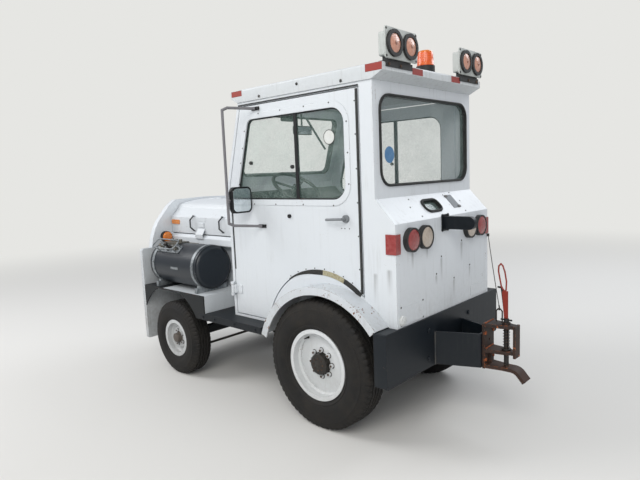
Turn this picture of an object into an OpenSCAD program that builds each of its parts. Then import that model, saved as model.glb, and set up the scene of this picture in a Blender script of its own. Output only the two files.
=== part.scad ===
// Airport baggage tug: a small four-wheeled tow tractor with a steel cab,
// a gas tank on its left front shelf, a heavy rear bumper and a drop-pin hitch.
// Millimetres. X points forward, Y to the driver's left, Z up, the ground is Z = 0.
// Lengths along X are written from the rear axle; place() centres the tug on the origin.

/* [Overall] */
// Distance between the two axles
wheelbase = 1540; // [1400:10:1800]
// Rear axle to the end of the hitch lip
tail_len = 1030; // [960:5:1100]
// Front axle to the face of the front rubber
nose_len = 425; // [415:5:520]
// Width over the rear bumper, the front plate and the shelves
track_body_w = 1352; // [1340:4:1440]
// Height of the running boards, the rails' tops and the cab floor's underside
deck_z = 565; // [560:5:590]

/* [Cab] */
// Width over the cab walls and doors
cab_w = 1106; // [1080:2:1130]
// Thickness of walls and doors
wall_t = 30; // [20:1:36]
// Height of the walls' top edge
cab_top_z = 2040; // [1990:5:2100]
// Height where the windscreen and the front pillars start to lean back
belt_z = 1489; // [1440:5:1520]
// Front face of the cab below the belt
cab_front_x = 872; // [860:2:900]
// Front face of the cab at the walls' top edge
screen_top_x = 711; // [680:5:760]
// Outer face of the upper rear wall, behind the rear axle
rear_wall_x = -404; // [-430:2:-390]
// Outer face of the lower rear panel
rear_panel_x = -532; // [-560:2:-520]
// Height where the upper rear wall ends and the slope starts
slope_top_z = 1399; // [1370:5:1430]
// Height where the slope ends and the lower rear panel starts
slope_low_z = 1264; // [1240:5:1290]

/* [Roof] */
// Width of the roof tray
roof_w = 1120; // [1110:2:1160]
// Rear edge of the roof tray
roof_rear_x = -478; // [-500:2:-450]
// Front edge of the roof tray
roof_front_x = 773; // [740:2:820]
// Height of the roof's top face
roof_top_z = 2123; // [2100:2:2160]
// Height of the fascia's lower edge at front and rear
fascia_z = 2076; // [2060:2:2090]

/* [Doors] */
// Rear edge of the door
door_rear_x = -306; // [-320:2:-280]
// Lower edge of the door
door_low_z = 588; // [580:1:610]
// Upper edge of the door
door_top_z = 2008; // [1960:2:2015]
// Gap between a door and the cab around it
door_gap = 8; // [6:1:10]
// Width of the front pillar beside the door
pillar_w = 25; // [20:1:40]
// Radius of the wheel arch cut in the door
door_arch_r = 500; // [480:5:520]
// Distance of the hinge axis outside the door's face
hinge_out = 22; // [18:1:26]
// Radius of the hinge pins
hinge_pin_r = 6; // [4:0.5:8]

/* [Rear wheels] */
// Radius of the rear tyre out to its tread
rear_tyre_r = 400; // [380:2:410]
// Width of the rear tyre
rear_tyre_w = 205; // [180:1:215]
// Radius of the rear rim's bead seat
rear_bead_r = 203; // [190:1:215]
// Outer edge of the rear tyre from the centre line
rear_outer_y = 668; // [650:1:680]

/* [Front wheels] */
// Radius of the front tyre out to its lugs
front_tyre_r = 294; // [280:1:305]
// Width of the front tyre
front_tyre_w = 176; // [160:1:182]
// Radius of the front rim's bead seat
front_bead_r = 127; // [115:1:135]
// Outer edge of the front tyre from the centre line
front_outer_y = 660; // [650:1:670]
// Distance of the kingpins from the centre line
kingpin_y = 478; // [474:1:480]
// Radius of the kingpins
kingpin_r = 12; // [10:0.5:14]
// Length of the steering arms behind the kingpins
steer_arm = 100; // [92:1:104]

/* [Front body] */
// Depth of the front rubber
rubber_t = 35; // [25:1:45]
// Thickness of the front plate
plate_t = 36; // [20:1:40]
// Lower edge of the front plate
plate_low_z = 240; // [200:5:300]
// Upper edge of the front plate
plate_top_z = 994; // [960:2:1010]
// Height of the bonnet's crown
hood_top_z = 1371; // [1350:1:1378]
// Half width of the bonnet
hood_hw = 377; // [350:1:380]
// Lower edge of the bonnet covers
hood_low_z = 1103; // [1100:1:1120]
// Thickness of the bonnet covers
hood_t = 14; // [8:1:16]
// Height of the shelves over the front wheels
shelf_z = 695; // [680:5:700]
// Shelves' rear end behind the front axle
shelf_back = 460; // [430:5:480]

/* [Gas tank] */
// Radius of the tank
tank_r = 165; // [150:1:168]
// Length of the tank
tank_len = 650; // [560:5:670]
// Tank's rear end behind the front axle
tank_back = 390; // [360:5:410]
// Tank axis inside the shelves' outer edge
tank_in = 171; // [168:1:176]
// Height of the tank axis
tank_z = 880; // [870:1:885]

/* [Rear bumper and hitch] */
// Rear face of the bumper slab
slab_x = -541; // [-560:1:-538]
// Thickness of the bumper slab
slab_t = 85; // [60:1:90]
// Lower edge of the bumper slab
slab_low_z = 383; // [360:1:400]
// Upper edge of the bumper slab
slab_top_z = 689; // [680:1:700]
// Length of the bracket box behind the slab
box_len = 245; // [235:1:255]
// Half width of the bracket box at the slab
box_hw = 178; // [160:1:190]
// Axis of the tow pin behind the rear axle
pin_x = -905; // [-915:1:-900]
// Radius of the tow pin
pin_r = 14; // [12:0.5:16]
// Height of the hitch's lower plate, its middle plate and its top plate
hitch_z = [380, 475, 628];
// Thickness of the hitch plates
hitch_t = 20; // [16:1:22]
// Half width of the hitch plates
hitch_hw = 45; // [38:1:50]
// Lift of the tow pin
pin_lift = 92; // [80:1:92]

/* [Hidden] */
$fn = 48;
// Clearance between pieces that touch, and the running fit of pins in bores
seat = 0.3;
run = 0.4;

origin_x = -(wheelbase + nose_len - tail_len) / 2;
body_hw = track_body_w / 2;
cab_hw = cab_w / 2;
wall_in = cab_hw - wall_t;
rake = (cab_front_x - screen_top_x) / (cab_top_z - belt_z);
rake_angle = atan(rake);
floor_t = 30;
floor_top = deck_z + floor_t;
front_x = wheelbase;
rubber_x = wheelbase + nose_len;
plate_front_x = rubber_x - rubber_t;
plate_x = plate_front_x - plate_t;
shelf_x = front_x - shelf_back;
tank_x = front_x - tank_back;
tank_y = body_hw - tank_in;

// Rear mudguard: an arc about its own centre, a little behind and below the axle
guard_c = [-54, 353];
guard_r = 538;
guard_t = 8;
guard_lip = 48;
guard_in_y = 432;
guard_from = 18.6;

door_front_x = cab_front_x - pillar_w - door_gap;
door_arch_c = [20, 468];
hinge_x = cab_front_x - 19;
hinge_y = cab_hw + hinge_out;
hinge_zs = [763, 1400];
knuckle_h = 60;
hinge_lug_h = 18;

rail_out = 310;
rail_w = 60;
rail_h = 100;
board_h = 47;
board_x0 = 462;
board_x1 = front_x - 400;

rear_axle_z = rear_tyre_r;
front_axle_z = front_tyre_r;

body_white = [0.86, 0.87, 0.86];
frame_black = [0.10, 0.11, 0.12];
tyre_black = [0.06, 0.06, 0.06];
steel_dark = [0.20, 0.20, 0.21];
rust = [0.42, 0.22, 0.14];
lamp_red = [0.65, 0.06, 0.05];
lamp_amber = [0.95, 0.45, 0.05];

// Placing helpers

module place() {
    translate([origin_x, 0, 0]) children();
}

module right_of() {
    mirror([0, 1, 0]) children();
}

module both() {
    children();
    right_of() children();
}

// A side-view outline (x, z) as a slab from y0 to y1
module side_slab(y0, y1) {
    translate([0, y1, 0]) rotate([90, 0, 0]) linear_extrude(y1 - y0) children();
}

// A rear-view outline (y, z) as a slab from x0 to x1
module cross_slab(x0, x1) {
    translate([x0, 0, 0]) rotate([90, 0, 90]) linear_extrude(x1 - x0) children();
}

// A box between two corners
module block(p0, p1) {
    translate(p0) cube(p1 - p0);
}

// A round bar between two points
module bar(p0, p1, r) {
    d = p1 - p0;
    l = norm(d);
    translate(p0) rotate([0, acos(d.z / l), atan2(d.y, d.x)]) cylinder(r = r, h = l);
}

// A bent round bar through a list of points, a little fuller at the bends
module bent_bar(points, r) {
    for (i = [0:len(points) - 2]) bar(points[i], points[i + 1], r);
    for (i = [1:len(points) - 2]) translate(points[i]) sphere(r + 0.5);
}

// A disc or ring about the Y axis, from y0 to y1
module disc_y(c, y0, y1, r) {
    translate([c.x, y1, c.y]) rotate([90, 0, 0]) cylinder(r = r, h = y1 - y0);
}

// A disc about the X axis, from x0 to x1, at (y, z)
module disc_x(c, x0, x1, r) {
    translate([x0, c.x, c.y]) rotate([0, 90, 0]) cylinder(r = r, h = x1 - x0);
}

// Outlines with round corners

function corner_arc(a, b, c, r, n) = r <= 0 ? [b] :
    let (u = (a - b) / norm(a - b), v = (c - b) / norm(c - b), half = acos(u * v) / 2,
        ctr = b + (u + v) / norm(u + v) * r / sin(half),
        s = b + u * r / tan(half) - ctr, e = b + v * r / tan(half) - ctr,
        a0 = atan2(s.y, s.x), d0 = atan2(e.y, e.x) - a0,
        d = d0 > 180 ? d0 - 360 : d0 < -180 ? d0 + 360 : d0)
    [for (k = [0:n]) ctr + r * [cos(a0 + d * k / n), sin(a0 + d * k / n)]];

function rounded(p, r, n = 6) = [for (i = [0:len(p) - 1])
    each corner_arc(p[(i + len(p) - 1) % len(p)], p[i], p[(i + 1) % len(p)], r[i], n)];

// The closed convex outline p, grown by d on every side
function grow(p, d) = [for (i = [0:len(p) - 1])
    let (b = p[i], u = (p[(i + len(p) - 1) % len(p)] - b), v = (p[(i + 1) % len(p)] - b),
        w = u / norm(u) + v / norm(v), half = acos(u * v / norm(u) / norm(v)) / 2)
    b - w / norm(w) * d / sin(half)];

function box_points(c, w, h) = [c + [w / 2, h / 2], c + [-w / 2, h / 2],
    c + [-w / 2, -h / 2], c + [w / 2, -h / 2]];

// A strip of thickness t along the left side of an open path
function left_of(a, b) = let (d = (b - a) / norm(b - a)) [-d.y, d.x];

function miter(p, i, t) = let (n = len(p) - 1, n1 = left_of(p[max(i - 1, 0)], p[max(i, 1)]),
    n2 = left_of(p[min(i, n - 1)], p[min(i + 1, n)])) p[i] + t * (n1 + n2) / (1 + n1 * n2);

function strip(p, t) = concat(p, [for (i = [len(p) - 1:-1:0]) miter(p, i, t)]);

function arc_points(c, r, a0, a1, n) =
    [for (k = [0:n]) c + r * [cos(a0 + (a1 - a0) * k / n), sin(a0 + (a1 - a0) * k / n)]];

// Chassis

module rail() {
    lip_t = 8;
    difference() {
        block([slab_x + slab_t, rail_out - rail_w, deck_z - rail_h], [plate_x, rail_out, deck_z]);
        block([slab_x + slab_t - 1, rail_out - rail_w - 1, deck_z - rail_h + lip_t],
            [plate_x + 1, rail_out - lip_t, deck_z - lip_t]);
    }
}

module cross_member(x, w) {
    block([x - w / 2, -rail_out + 4, deck_z - 60], [x + w / 2, rail_out - 4, deck_z - 6]);
}

module running_board() {
    t = 8;
    difference() {
        block([board_x0, rail_out - 4, deck_z - board_h], [board_x1, body_hw, deck_z]);
        block([board_x0 + t, rail_out, deck_z - board_h - 1], [board_x1 - t, body_hw - t, deck_z - t]);
    }
    for (x = [board_x0 + 220, board_x0 + 440])
        block([x, rail_out - 4, deck_z - board_h], [x + t, body_hw - 1, deck_z - 1]);
}

module axle_cradle() {
    cheek_t = 20;
    beam_half = 60;
    block([front_x - beam_half, -rail_out + 4, deck_z - rail_h - 40],
        [front_x + beam_half, rail_out - 4, deck_z - rail_h + 4]);
    for (x = [front_x - beam_half, front_x + beam_half - cheek_t]) difference() {
        block([x, -75, front_axle_z - 44], [x + cheek_t, 75, deck_z - rail_h - 30]);
        disc_x([0, front_axle_z], x - 1, x + cheek_t + 1, 20 + run);
    }
}

module chassis_frame() color(frame_black) place() {
    both() rail();
    for (s = [[-430, 50], [440, 60], [front_x + 240, 60]]) cross_member(s[0], s[1]);
    axle_cradle();
    both() running_board();
}

// Rear axle with its leaf springs

spring_y = 350;
spindle_r = 28;
drum_in = 462;

leaf_half = [360, 285, 210, 135];
leaf_t = 9;
bow_r = 2200;
pad_z = rear_axle_z + 46;

// Side view of the bowed stack: one arc on top, and a step down for each shorter leaf
function leaf_angle(k) = asin(leaf_half[k] / bow_r);

function stack_outline(c) = let (n = len(leaf_half) - 1) concat(
    arc_points(c, bow_r, 270 + leaf_angle(0), 270 - leaf_angle(0), 12),
    [for (k = [0:n - 1]) each arc_points(c, bow_r + (k + 1) * leaf_t,
        270 - leaf_angle(k), 270 - leaf_angle(k + 1), 2)],
    arc_points(c, bow_r + (n + 1) * leaf_t, 270 - leaf_angle(n), 270 + leaf_angle(n), 4),
    [for (k = [n - 1:-1:0]) each arc_points(c, bow_r + (k + 1) * leaf_t,
        270 + leaf_angle(k + 1), 270 + leaf_angle(k), 2)]);

module leaf_spring() {
    eye_z = 516;
    eye_x = leaf_half[0] + 6;
    side_slab(spring_y - 25, spring_y + 25)
        polygon(stack_outline([0, pad_z + len(leaf_half) * leaf_t + bow_r]));
    for (x = [-eye_x, eye_x]) difference() {
        union() {
            disc_y([x, eye_z], spring_y - 25, spring_y + 25, 16);
            block([x - 12, rail_out + seat, eye_z - 12], [x + 12, spring_y - 20, eye_z + 12]);
        }
        disc_y([x, eye_z], spring_y - 26, spring_y + 26, 7);
    }
    block([-45, spring_y - 30, pad_z - 14], [45, spring_y + 30, pad_z + 2]);
    for (x = [-34, 34]) bar([x, spring_y, pad_z - 6], [x, spring_y, pad_z + 50], 7);
}

module rear_axle() color(frame_black) place() {
    tube_r = 42;
    plate_r = 145;
    half = [[spindle_r, 612], [spindle_r, drum_in - 5], [plate_r, drum_in - 5],
        [plate_r, drum_in - 12], [tube_r, drum_in - 12], [tube_r, 128], [74, 114],
        [106, 80], [122, 36]];
    translate([0, 0, rear_axle_z]) turned() polygon(concat([[0, half[0].y]], half,
        [for (i = [len(half) - 1:-1:0]) [half[i].x, -half[i].y]], [[0, -half[0].y]]));
    disc_x([0, rear_axle_z], 90, 150, 52);
    both() leaf_spring();
}

// Front axle, knuckles and tie rod

boss_r = 29;
boss_h = 76;
fork_gap = 2;
fork_t = 22;
spindle_front_r = 20;
web_y = kingpin_y + 36;
tie_x = front_x - steer_arm;
arm_in = 0;
arm_t = 14;
tie_eye_h = 20;
arm_low = boss_h / 2 + fork_gap + fork_t + arm_t;
tie_z = front_axle_z - arm_low - 1.5 - tie_eye_h / 2;

module front_axle() color(frame_black) place() {
    beam_w = 60;
    beam_h = 62;
    difference() {
        union() {
            block([front_x - beam_w / 2, -kingpin_y, front_axle_z - beam_h / 2],
                [front_x + beam_w / 2, kingpin_y, front_axle_z + beam_h / 2]);
            disc_x([0, front_axle_z], front_x - 38, front_x + 38, 42);
            both() translate([front_x, kingpin_y, front_axle_z - boss_h / 2])
                cylinder(r = boss_r, h = boss_h);
        }
        both() {
            translate([front_x, kingpin_y, 0]) cylinder(r = kingpin_r + run, h = 600);
            difference() {
                block([front_x - beam_w, kingpin_y - 12, front_axle_z - 100],
                    [front_x + beam_w, kingpin_y + 40, front_axle_z + 100]);
                translate([front_x, kingpin_y, front_axle_z - 110]) cylinder(r = boss_r, h = 220);
            }
        }
        disc_x([0, front_axle_z], front_x - 60, front_x + 60, 20 + run);
    }
    disc_x([0, front_axle_z], front_x - 64, front_x + 64, 20);
}

module knuckle() {
    fork_r = 30;
    lug0 = boss_h / 2 + fork_gap;
    reach = lug0 + fork_t;
    translate([front_x, kingpin_y, front_axle_z]) {
        for (s = [-1, 1]) difference() {
            union() {
                translate([0, 0, s > 0 ? lug0 : -reach]) cylinder(r = fork_r, h = fork_t);
                block([-24, 0, s > 0 ? lug0 : -reach], [24, 48, s > 0 ? reach : -lug0]);
            }
            translate([0, 0, -200]) cylinder(r = kingpin_r - 1, h = 400);
        }
        block([-28, web_y - kingpin_y, -reach], [28, web_y - kingpin_y + 24, reach]);
        translate([0, web_y - kingpin_y + 24, 0]) rotate([-90, 0, 0]) {
            cylinder(r = 34, h = 8);
            cylinder(r = spindle_front_r, h = 84);
        }
        translate([0, 0, -reach - 6]) cylinder(r = kingpin_r, h = 2 * reach + 12);
        translate([0, 0, -reach - arm_t]) linear_extrude(arm_t) polygon([[-14, 20], [18, 12],
            [18, -14], [20 - steer_arm, -arm_in - 15], [-steer_arm, -arm_in - 15],
            [-steer_arm, -arm_in + 15], [16 - steer_arm, -arm_in + 14]]);
        translate([-steer_arm, -arm_in, -reach - arm_t]) cylinder(r = 15, h = arm_t);
        translate([-steer_arm, -arm_in, tie_z - front_axle_z - 12])
            cylinder(r = 8, h = -reach - tie_z + front_axle_z + 12);
    }
}

module knuckle_left() color(steel_dark) place() knuckle();
module knuckle_right() color(steel_dark) place() right_of() knuckle();

module tie_rod() color(steel_dark) place() {
    end_y = kingpin_y - arm_in;
    difference() {
        union() {
            bar([tie_x, -end_y, tie_z], [tie_x, end_y, tie_z], 10);
            both() translate([tie_x, end_y, tie_z - tie_eye_h / 2])
                cylinder(r = 17, h = tie_eye_h);
        }
        both() translate([tie_x, end_y, tie_z - 40]) cylinder(r = 8 + run, h = 80);
    }
}

// Engine, gearbox and propeller shaft as plain masses

module engine_block() color(steel_dark) place() {
    shaft_r = 27;
    engine_x0 = front_x - 440;
    engine_x1 = front_x + 110;
    gearbox_x = cab_front_x - 172;
    block([engine_x0, -210, 475], [engine_x1, 210, 1080]);
    block([gearbox_x, -125, 480], [engine_x0, 125, 560]);
    block([cab_front_x + 10, -125, 480], [engine_x0 + 10, 125, 680]);
    bar([155, 0, rear_axle_z], [gearbox_x + 2, 0, 495], shaft_r);
    block([engine_x1 + 40, -285, deck_z + seat], [engine_x1 + 100, 285, 1240]);
    for (y = [-200, 160]) block([engine_x1 - 10, y, 640], [engine_x1 + 50, y + 40, 680]);
}

// Front plate, rubber, nose and grille

module front_plate() color(body_white) place()
    cross_slab(plate_x, plate_front_x) polygon(rounded(
        box_points([0, (plate_top_z + plate_low_z) / 2], track_body_w, plate_top_z - plate_low_z),
        [22, 22, 10, 10]));

module front_rubber() color(tyre_black) place()
    side_slab(-600, 600) polygon(rounded([[plate_front_x, 250], [rubber_x, 266],
        [rubber_x, 424], [plate_front_x, 440]], [0, 14, 14, 0]));

nose_depth = 52;
nose_rear = plate_front_x - 38;
nose_front = nose_rear + nose_depth;
grille_w = 540;
grille_z = [1045, 1300];

nose_half = [[580, plate_top_z], [568, 1070], [537, 1150], [508, 1200], [457, 1260],
    [395, 1330], [325, 1378]];
nose_outline = concat(nose_half, [[0, 1386]],
    [for (i = [len(nose_half) - 1:-1:0]) [-nose_half[i].x, nose_half[i].y]]);

module grille_hole() {
    polygon(rounded(box_points([0, (grille_z[0] + grille_z[1]) / 2], grille_w,
        grille_z[1] - grille_z[0]), [30, 30, 30, 30]));
}

module nose_cowl() color(body_white) place() difference() {
    cross_slab(nose_rear, nose_front) polygon(nose_outline);
    cross_slab(nose_rear - 1, nose_front + 1) grille_hole();
}

module grille() color(frame_black) place() {
    slats = 9;
    frame_w = 12;
    depth = 24;
    pitch = (grille_z[1] - grille_z[0]) / (slats + 1);
    x0 = nose_rear + 14;
    cross_slab(x0, x0 + depth) difference() {
        polygon(rounded(box_points([0, (grille_z[0] + grille_z[1]) / 2],
            grille_w - 2 * seat, grille_z[1] - grille_z[0] - 2 * seat), [30, 30, 30, 30]));
        polygon(rounded(box_points([0, (grille_z[0] + grille_z[1]) / 2],
            grille_w - 2 * frame_w, grille_z[1] - grille_z[0] - 2 * frame_w), [20, 20, 20, 20]));
    }
    for (k = [1:slats]) translate([x0 + depth / 2, 0, grille_z[0] + k * pitch])
        rotate([0, 30, 0]) block([-11, -grille_w / 2 + 4, -2], [11, grille_w / 2 - 4, 2]);
    for (y = [-120, 120]) block([x0 + 3, y - 4, grille_z[0] + 4], [x0 + 9, y + 4, grille_z[1] - 4]);
}

// Bonnet: fixed ledges and spine, and two covers that lift about it

hood_x0 = cab_front_x + door_gap;
hood_x1 = nose_rear - door_gap;
axis_y = 32;
axis_z = hood_top_z - 3;
axis_r = 4;
hinge_r = 8;
hood_knuckles = [hood_x0 + 80, (hood_x0 + hood_x1) / 2 - 22, hood_x1 - 124];
hood_knuckle_len = 60;

hood_path = [[axis_y + 12, hood_top_z], [150, hood_top_z - 8], [240, hood_top_z - 21],
    [285, hood_top_z - 34], [301, hood_top_z - 52], [307, hood_top_z - 66],
    [hood_hw, hood_top_z - 136], [hood_hw, hood_low_z]];

module engine_sides() color(body_white) place() {
    panel_t = 8;
    ledge_z = hood_low_z - door_gap;
    both() {
        block([cab_front_x, rail_out - 10, deck_z], [nose_rear, rail_out - 10 + panel_t, ledge_z - 10]);
        cross_slab(cab_front_x, nose_rear) polygon([[rail_out - 10, ledge_z - 75],
            [hood_hw + 15, ledge_z - 75], [hood_hw + 23, ledge_z - 67],
            [hood_hw + 23, ledge_z - 23], [hood_hw, ledge_z], [rail_out - 10, ledge_z]]);
    }
    block([cab_front_x, -18, hood_top_z - 34], [nose_rear, 18, hood_top_z - 12]);
    both() for (x = hood_knuckles) {
        for (s = [-1, 1]) {
            lug_x = x + s * (hood_knuckle_len / 2 + 9);
            disc_x([axis_y, axis_z], lug_x - 8, lug_x + 8, hinge_r);
            block([lug_x - 8, 10, hood_top_z - 30], [lug_x + 8, axis_y, hood_top_z - 6]);
        }
        disc_x([axis_y, axis_z], x - hood_knuckle_len / 2 - 12, x + hood_knuckle_len / 2 + 12, axis_r);
    }
}

module hood_handle(x) {
    z0 = 1107;
    z1 = 1248;
    out = 34;
    r = 6;
    bent_bar([[x, hood_hw - 4, z1], [x, hood_hw + 6, z1], [x + 8, hood_hw + out, z1 - 30],
        [x + 8, hood_hw + out, z0 + 30 + 22], [x, hood_hw + 6, z0 + 22], [x, hood_hw - 4, z0 + 22]], r);
}

module hood_latch() {
    x0 = front_x - 125;
    x1 = front_x - 30;
    block([x0 + 8, hood_hw - 2, 1158], [x1 - 8, hood_hw + 8, 1192]);
    side = hood_hw + 8;
    cross_slab(x0, x1) polygon(strip([[side - 8, 1152], [side - 2, 1146], [side + 26, hood_low_z],
        [side + 26, hood_low_z - 34]], -6));
}

module hood_cover() {
    difference() {
        union() {
            cross_slab(hood_x0, hood_x1) polygon(strip(hood_path, -hood_t));
            for (x = hood_knuckles) {
                disc_x([axis_y, axis_z], x - hood_knuckle_len / 2, x + hood_knuckle_len / 2, hinge_r);
                block([x - hood_knuckle_len / 2, axis_y, hood_top_z - 10],
                    [x + hood_knuckle_len / 2, axis_y + 20, hood_top_z - 2]);
            }
        }
        disc_x([axis_y, axis_z], hood_x0, hood_x1, axis_r + run);
    }
    hood_handle(front_x + 22);
    hood_handle(front_x - 360);
    hood_latch();
}

module hood_cover_left() color(body_white) place() hood_cover();
module hood_cover_right() color(body_white) place() right_of() hood_cover();

// Shelves over the front wheels with their arched skirts

module front_shelf() {
    t = 8;
    arch_r = front_tyre_r + 126;
    inner_y = rail_out - 2 + seat;
    block([shelf_x, inner_y, shelf_z - t], [plate_x, body_hw, shelf_z]);
    block([shelf_x, inner_y, deck_z], [shelf_x + t, body_hw, shelf_z]);
    difference() {
        block([shelf_x, body_hw - t, deck_z], [plate_x, body_hw, shelf_z]);
        disc_y([front_x, front_axle_z], body_hw - t - 1, body_hw + 1, arch_r);
    }
    difference() {
        block([board_x1, body_hw - t, deck_z - board_h], [plate_x, body_hw, deck_z + 1]);
        disc_y([front_x, front_axle_z], body_hw - t - 1, body_hw + 1, arch_r);
    }
}

module front_fenders() color(body_white) place() both() front_shelf();

// Gas tank

module lpg_tank() color(frame_black) place() {
    dish = 34;
    translate([tank_x, tank_y, tank_z]) rotate([0, 90, 0]) rotate_extrude($fn = 96)
        polygon(concat([[0, 0], [tank_r * 0.55, 0]],
            arc_points([tank_r - dish, dish], dish, -70, 0, 6),
            arc_points([tank_r - dish, tank_len - dish], dish, 0, 70, 6),
            [[tank_r * 0.55, tank_len], [0, tank_len]]));
}

strap_xs = [tank_x + 45, tank_x + tank_len - 75];

module tank_straps() color(steel_dark) place() {
    strap_w = 30;
    strap_t = 4;
    for (x = strap_xs) {
        difference() {
            disc_x([tank_y, tank_z], x, x + strap_w, tank_r + seat + strap_t);
            disc_x([tank_y, tank_z], x - 1, x + strap_w + 1, tank_r + seat);
        }
        difference() {
            block([x, tank_y - 110, shelf_z + seat], [x + strap_w, tank_y + 110, tank_z - 110]);
            disc_x([tank_y, tank_z], x - 1, x + strap_w + 1, tank_r + seat + 1);
        }
        for (s = [-1, 1]) block([x, tank_y + s * 128 - 14, shelf_z + seat],
            [x + strap_w, tank_y + s * 128 + 14, shelf_z + 40]);
        for (s = [-1, 1]) block([x, tank_y + s * 113 - 4, shelf_z + seat],
            [x + strap_w, tank_y + s * 113 + 4, shelf_z + 56]);
    }
}

module tank_valves() color(steel_dark) place() {
    x0 = tank_x + 380;
    x1 = tank_x + 560;
    difference() {
        union() {
            block([x0, tank_y - 45, tank_z + 120], [x1, tank_y + 75, tank_z + 172]);
            for (x = [x0 + 35, x0 + 95, x0 + 150])
                bar([x, tank_y + 10, tank_z + 160], [x, tank_y + 10, tank_z + 192], 14);
            bent_bar([[x0 + 95, tank_y - 40, tank_z + 160], [x0 + 95, tank_y - 66, tank_z + 158],
                [x0 + 40, tank_y - 88, tank_z + 148], [x0 - 60, tank_y - 88, tank_z + 148]], 7);
        }
        disc_x([tank_y, tank_z], x0 - 200, x1 + 50, tank_r + seat);
    }
}

// Cab shell

cab_outline = [[cab_front_x, deck_z], [cab_front_x, belt_z], [screen_top_x, cab_top_z],
    [rear_wall_x, cab_top_z], [rear_wall_x, slope_top_z], [rear_panel_x, slope_low_z],
    [rear_panel_x, slab_top_z], [rear_panel_x + 60, slab_top_z], [rear_panel_x + 60, deck_z]];

// A front edge parallel to the raked pillar, d behind the cab's front face, up to a height z
function raked_x(d, z) = cab_front_x - d - max(0, z - belt_z) * rake;

module door_opening() {
    d = pillar_w;
    low = door_low_z - door_gap + 1;
    top = door_top_z + door_gap;
    difference() {
        polygon([[raked_x(d, 0), low], [raked_x(d, belt_z), belt_z], [raked_x(d, top), top],
            [door_rear_x - door_gap, top], [door_rear_x - door_gap, low]]);
        translate(door_arch_c) circle(r = door_arch_r - door_gap, $fn = 128);
    }
}

module hinge_lugs() {
    for (z = hinge_zs) {
        for (s = [-1, 1]) {
            lug_z = z + s * (knuckle_h / 2 + 1.5 + hinge_lug_h / 2);
            translate([hinge_x, hinge_y, lug_z - hinge_lug_h / 2]) cylinder(r = 11, h = hinge_lug_h);
            block([hinge_x + 3, cab_hw - 4, lug_z - hinge_lug_h / 2],
                [cab_front_x - 1, hinge_y + 4, lug_z + hinge_lug_h / 2]);
        }
        translate([hinge_x, hinge_y, z - knuckle_h / 2 - 10])
            cylinder(r = hinge_pin_r, h = knuckle_h + 20);
    }
}

module cab_side() {
    side_slab(wall_in, cab_hw) difference() {
        polygon(cab_outline);
        door_opening();
        translate(guard_c) circle(r = guard_r + seat, $fn = 128);
    }
    hinge_lugs();
}

module cab_sides() color(body_white) place() both() cab_side();

screen_w = 2 * wall_in - 116;
screen_z = [70, 515];
screen_r = 60;

// The windscreen's own frame: origin on the belt line, Z up along the raked glass
module on_screen() {
    translate([cab_front_x, 0, belt_z]) rotate([0, -rake_angle, 0]) children();
}

module screen_shape(d) {
    polygon(rounded(box_points([0, (screen_z[0] + screen_z[1]) / 2], screen_w + 2 * d,
        screen_z[1] - screen_z[0] + 2 * d), [for (k = [0:3]) screen_r + d]));
}

module cab_front() color(body_white) place() difference() {
    side_slab(-wall_in, wall_in) polygon(strip([[cab_front_x, deck_z],
        [cab_front_x, belt_z], [screen_top_x, cab_top_z]], wall_t));
    on_screen() cross_slab(-60, 20) screen_shape(0);
    block([cab_front_x - 60, -128, deck_z - 1], [cab_front_x + 1, 128, deck_z + 120]);
}

rear_win_hw = wall_in - 24;
rear_win = [[-rear_win_hw, 1463], [rear_win_hw, 1463], [rear_win_hw, 1975], [-rear_win_hw, 1975]];
rear_win_r = 92;
slope_angle = atan((slope_top_z - slope_low_z) / (rear_wall_x - rear_panel_x));
slope_win_r = 45;

module rear_win_shape(d) {
    polygon(rounded(grow(rear_win, d), [for (k = [0:3]) rear_win_r + d]));
}

// The slope's own frame: origin in the middle of the slope, Z up along it
module on_slope() {
    translate([(rear_wall_x + rear_panel_x) / 2, 0, (slope_top_z + slope_low_z) / 2])
        rotate([0, 90 - slope_angle, 0]) children();
}

module slope_win_shape(d) {
    polygon(rounded(box_points([70, 0], 190 + 2 * d, 104 + 2 * d),
        [for (k = [0:3]) slope_win_r + d]));
}

module cab_rear() color(body_white) place() difference() {
    side_slab(-wall_in, wall_in) polygon(strip([[rear_wall_x, cab_top_z],
        [rear_wall_x, slope_top_z], [rear_panel_x, slope_low_z],
        [rear_panel_x, slab_top_z]], wall_t));
    cross_slab(rear_wall_x - 10, rear_wall_x + wall_t + 10) rear_win_shape(0);
    on_slope() cross_slab(-20, wall_t + 20) slope_win_shape(0);
}

// Windows: a rubber in each hole, and the pane in the rubber

rubber_w = 14;
pane_t = 6;

module window_rubbers() color(tyre_black) place() {
    on_screen() cross_slab(-wall_t - 4, 6) difference() {
        screen_shape(-seat);
        screen_shape(-rubber_w);
    }
    cross_slab(rear_wall_x - 8, rear_wall_x + wall_t + 4) difference() {
        rear_win_shape(-seat);
        rear_win_shape(-rubber_w);
    }
    on_slope() cross_slab(-8, wall_t) difference() {
        slope_win_shape(-seat);
        slope_win_shape(-rubber_w);
    }
}

module cab_glass() color([0.55, 0.68, 0.66, 0.5]) place() {
    mid = wall_t / 2;
    on_screen() cross_slab(-mid - pane_t / 2, -mid + pane_t / 2) screen_shape(-rubber_w - seat);
    cross_slab(rear_wall_x + mid - pane_t / 2, rear_wall_x + mid + pane_t / 2)
        rear_win_shape(-rubber_w - seat);
    on_slope() cross_slab(mid - pane_t / 2, mid + pane_t / 2) slope_win_shape(-rubber_w - seat);
}

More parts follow.
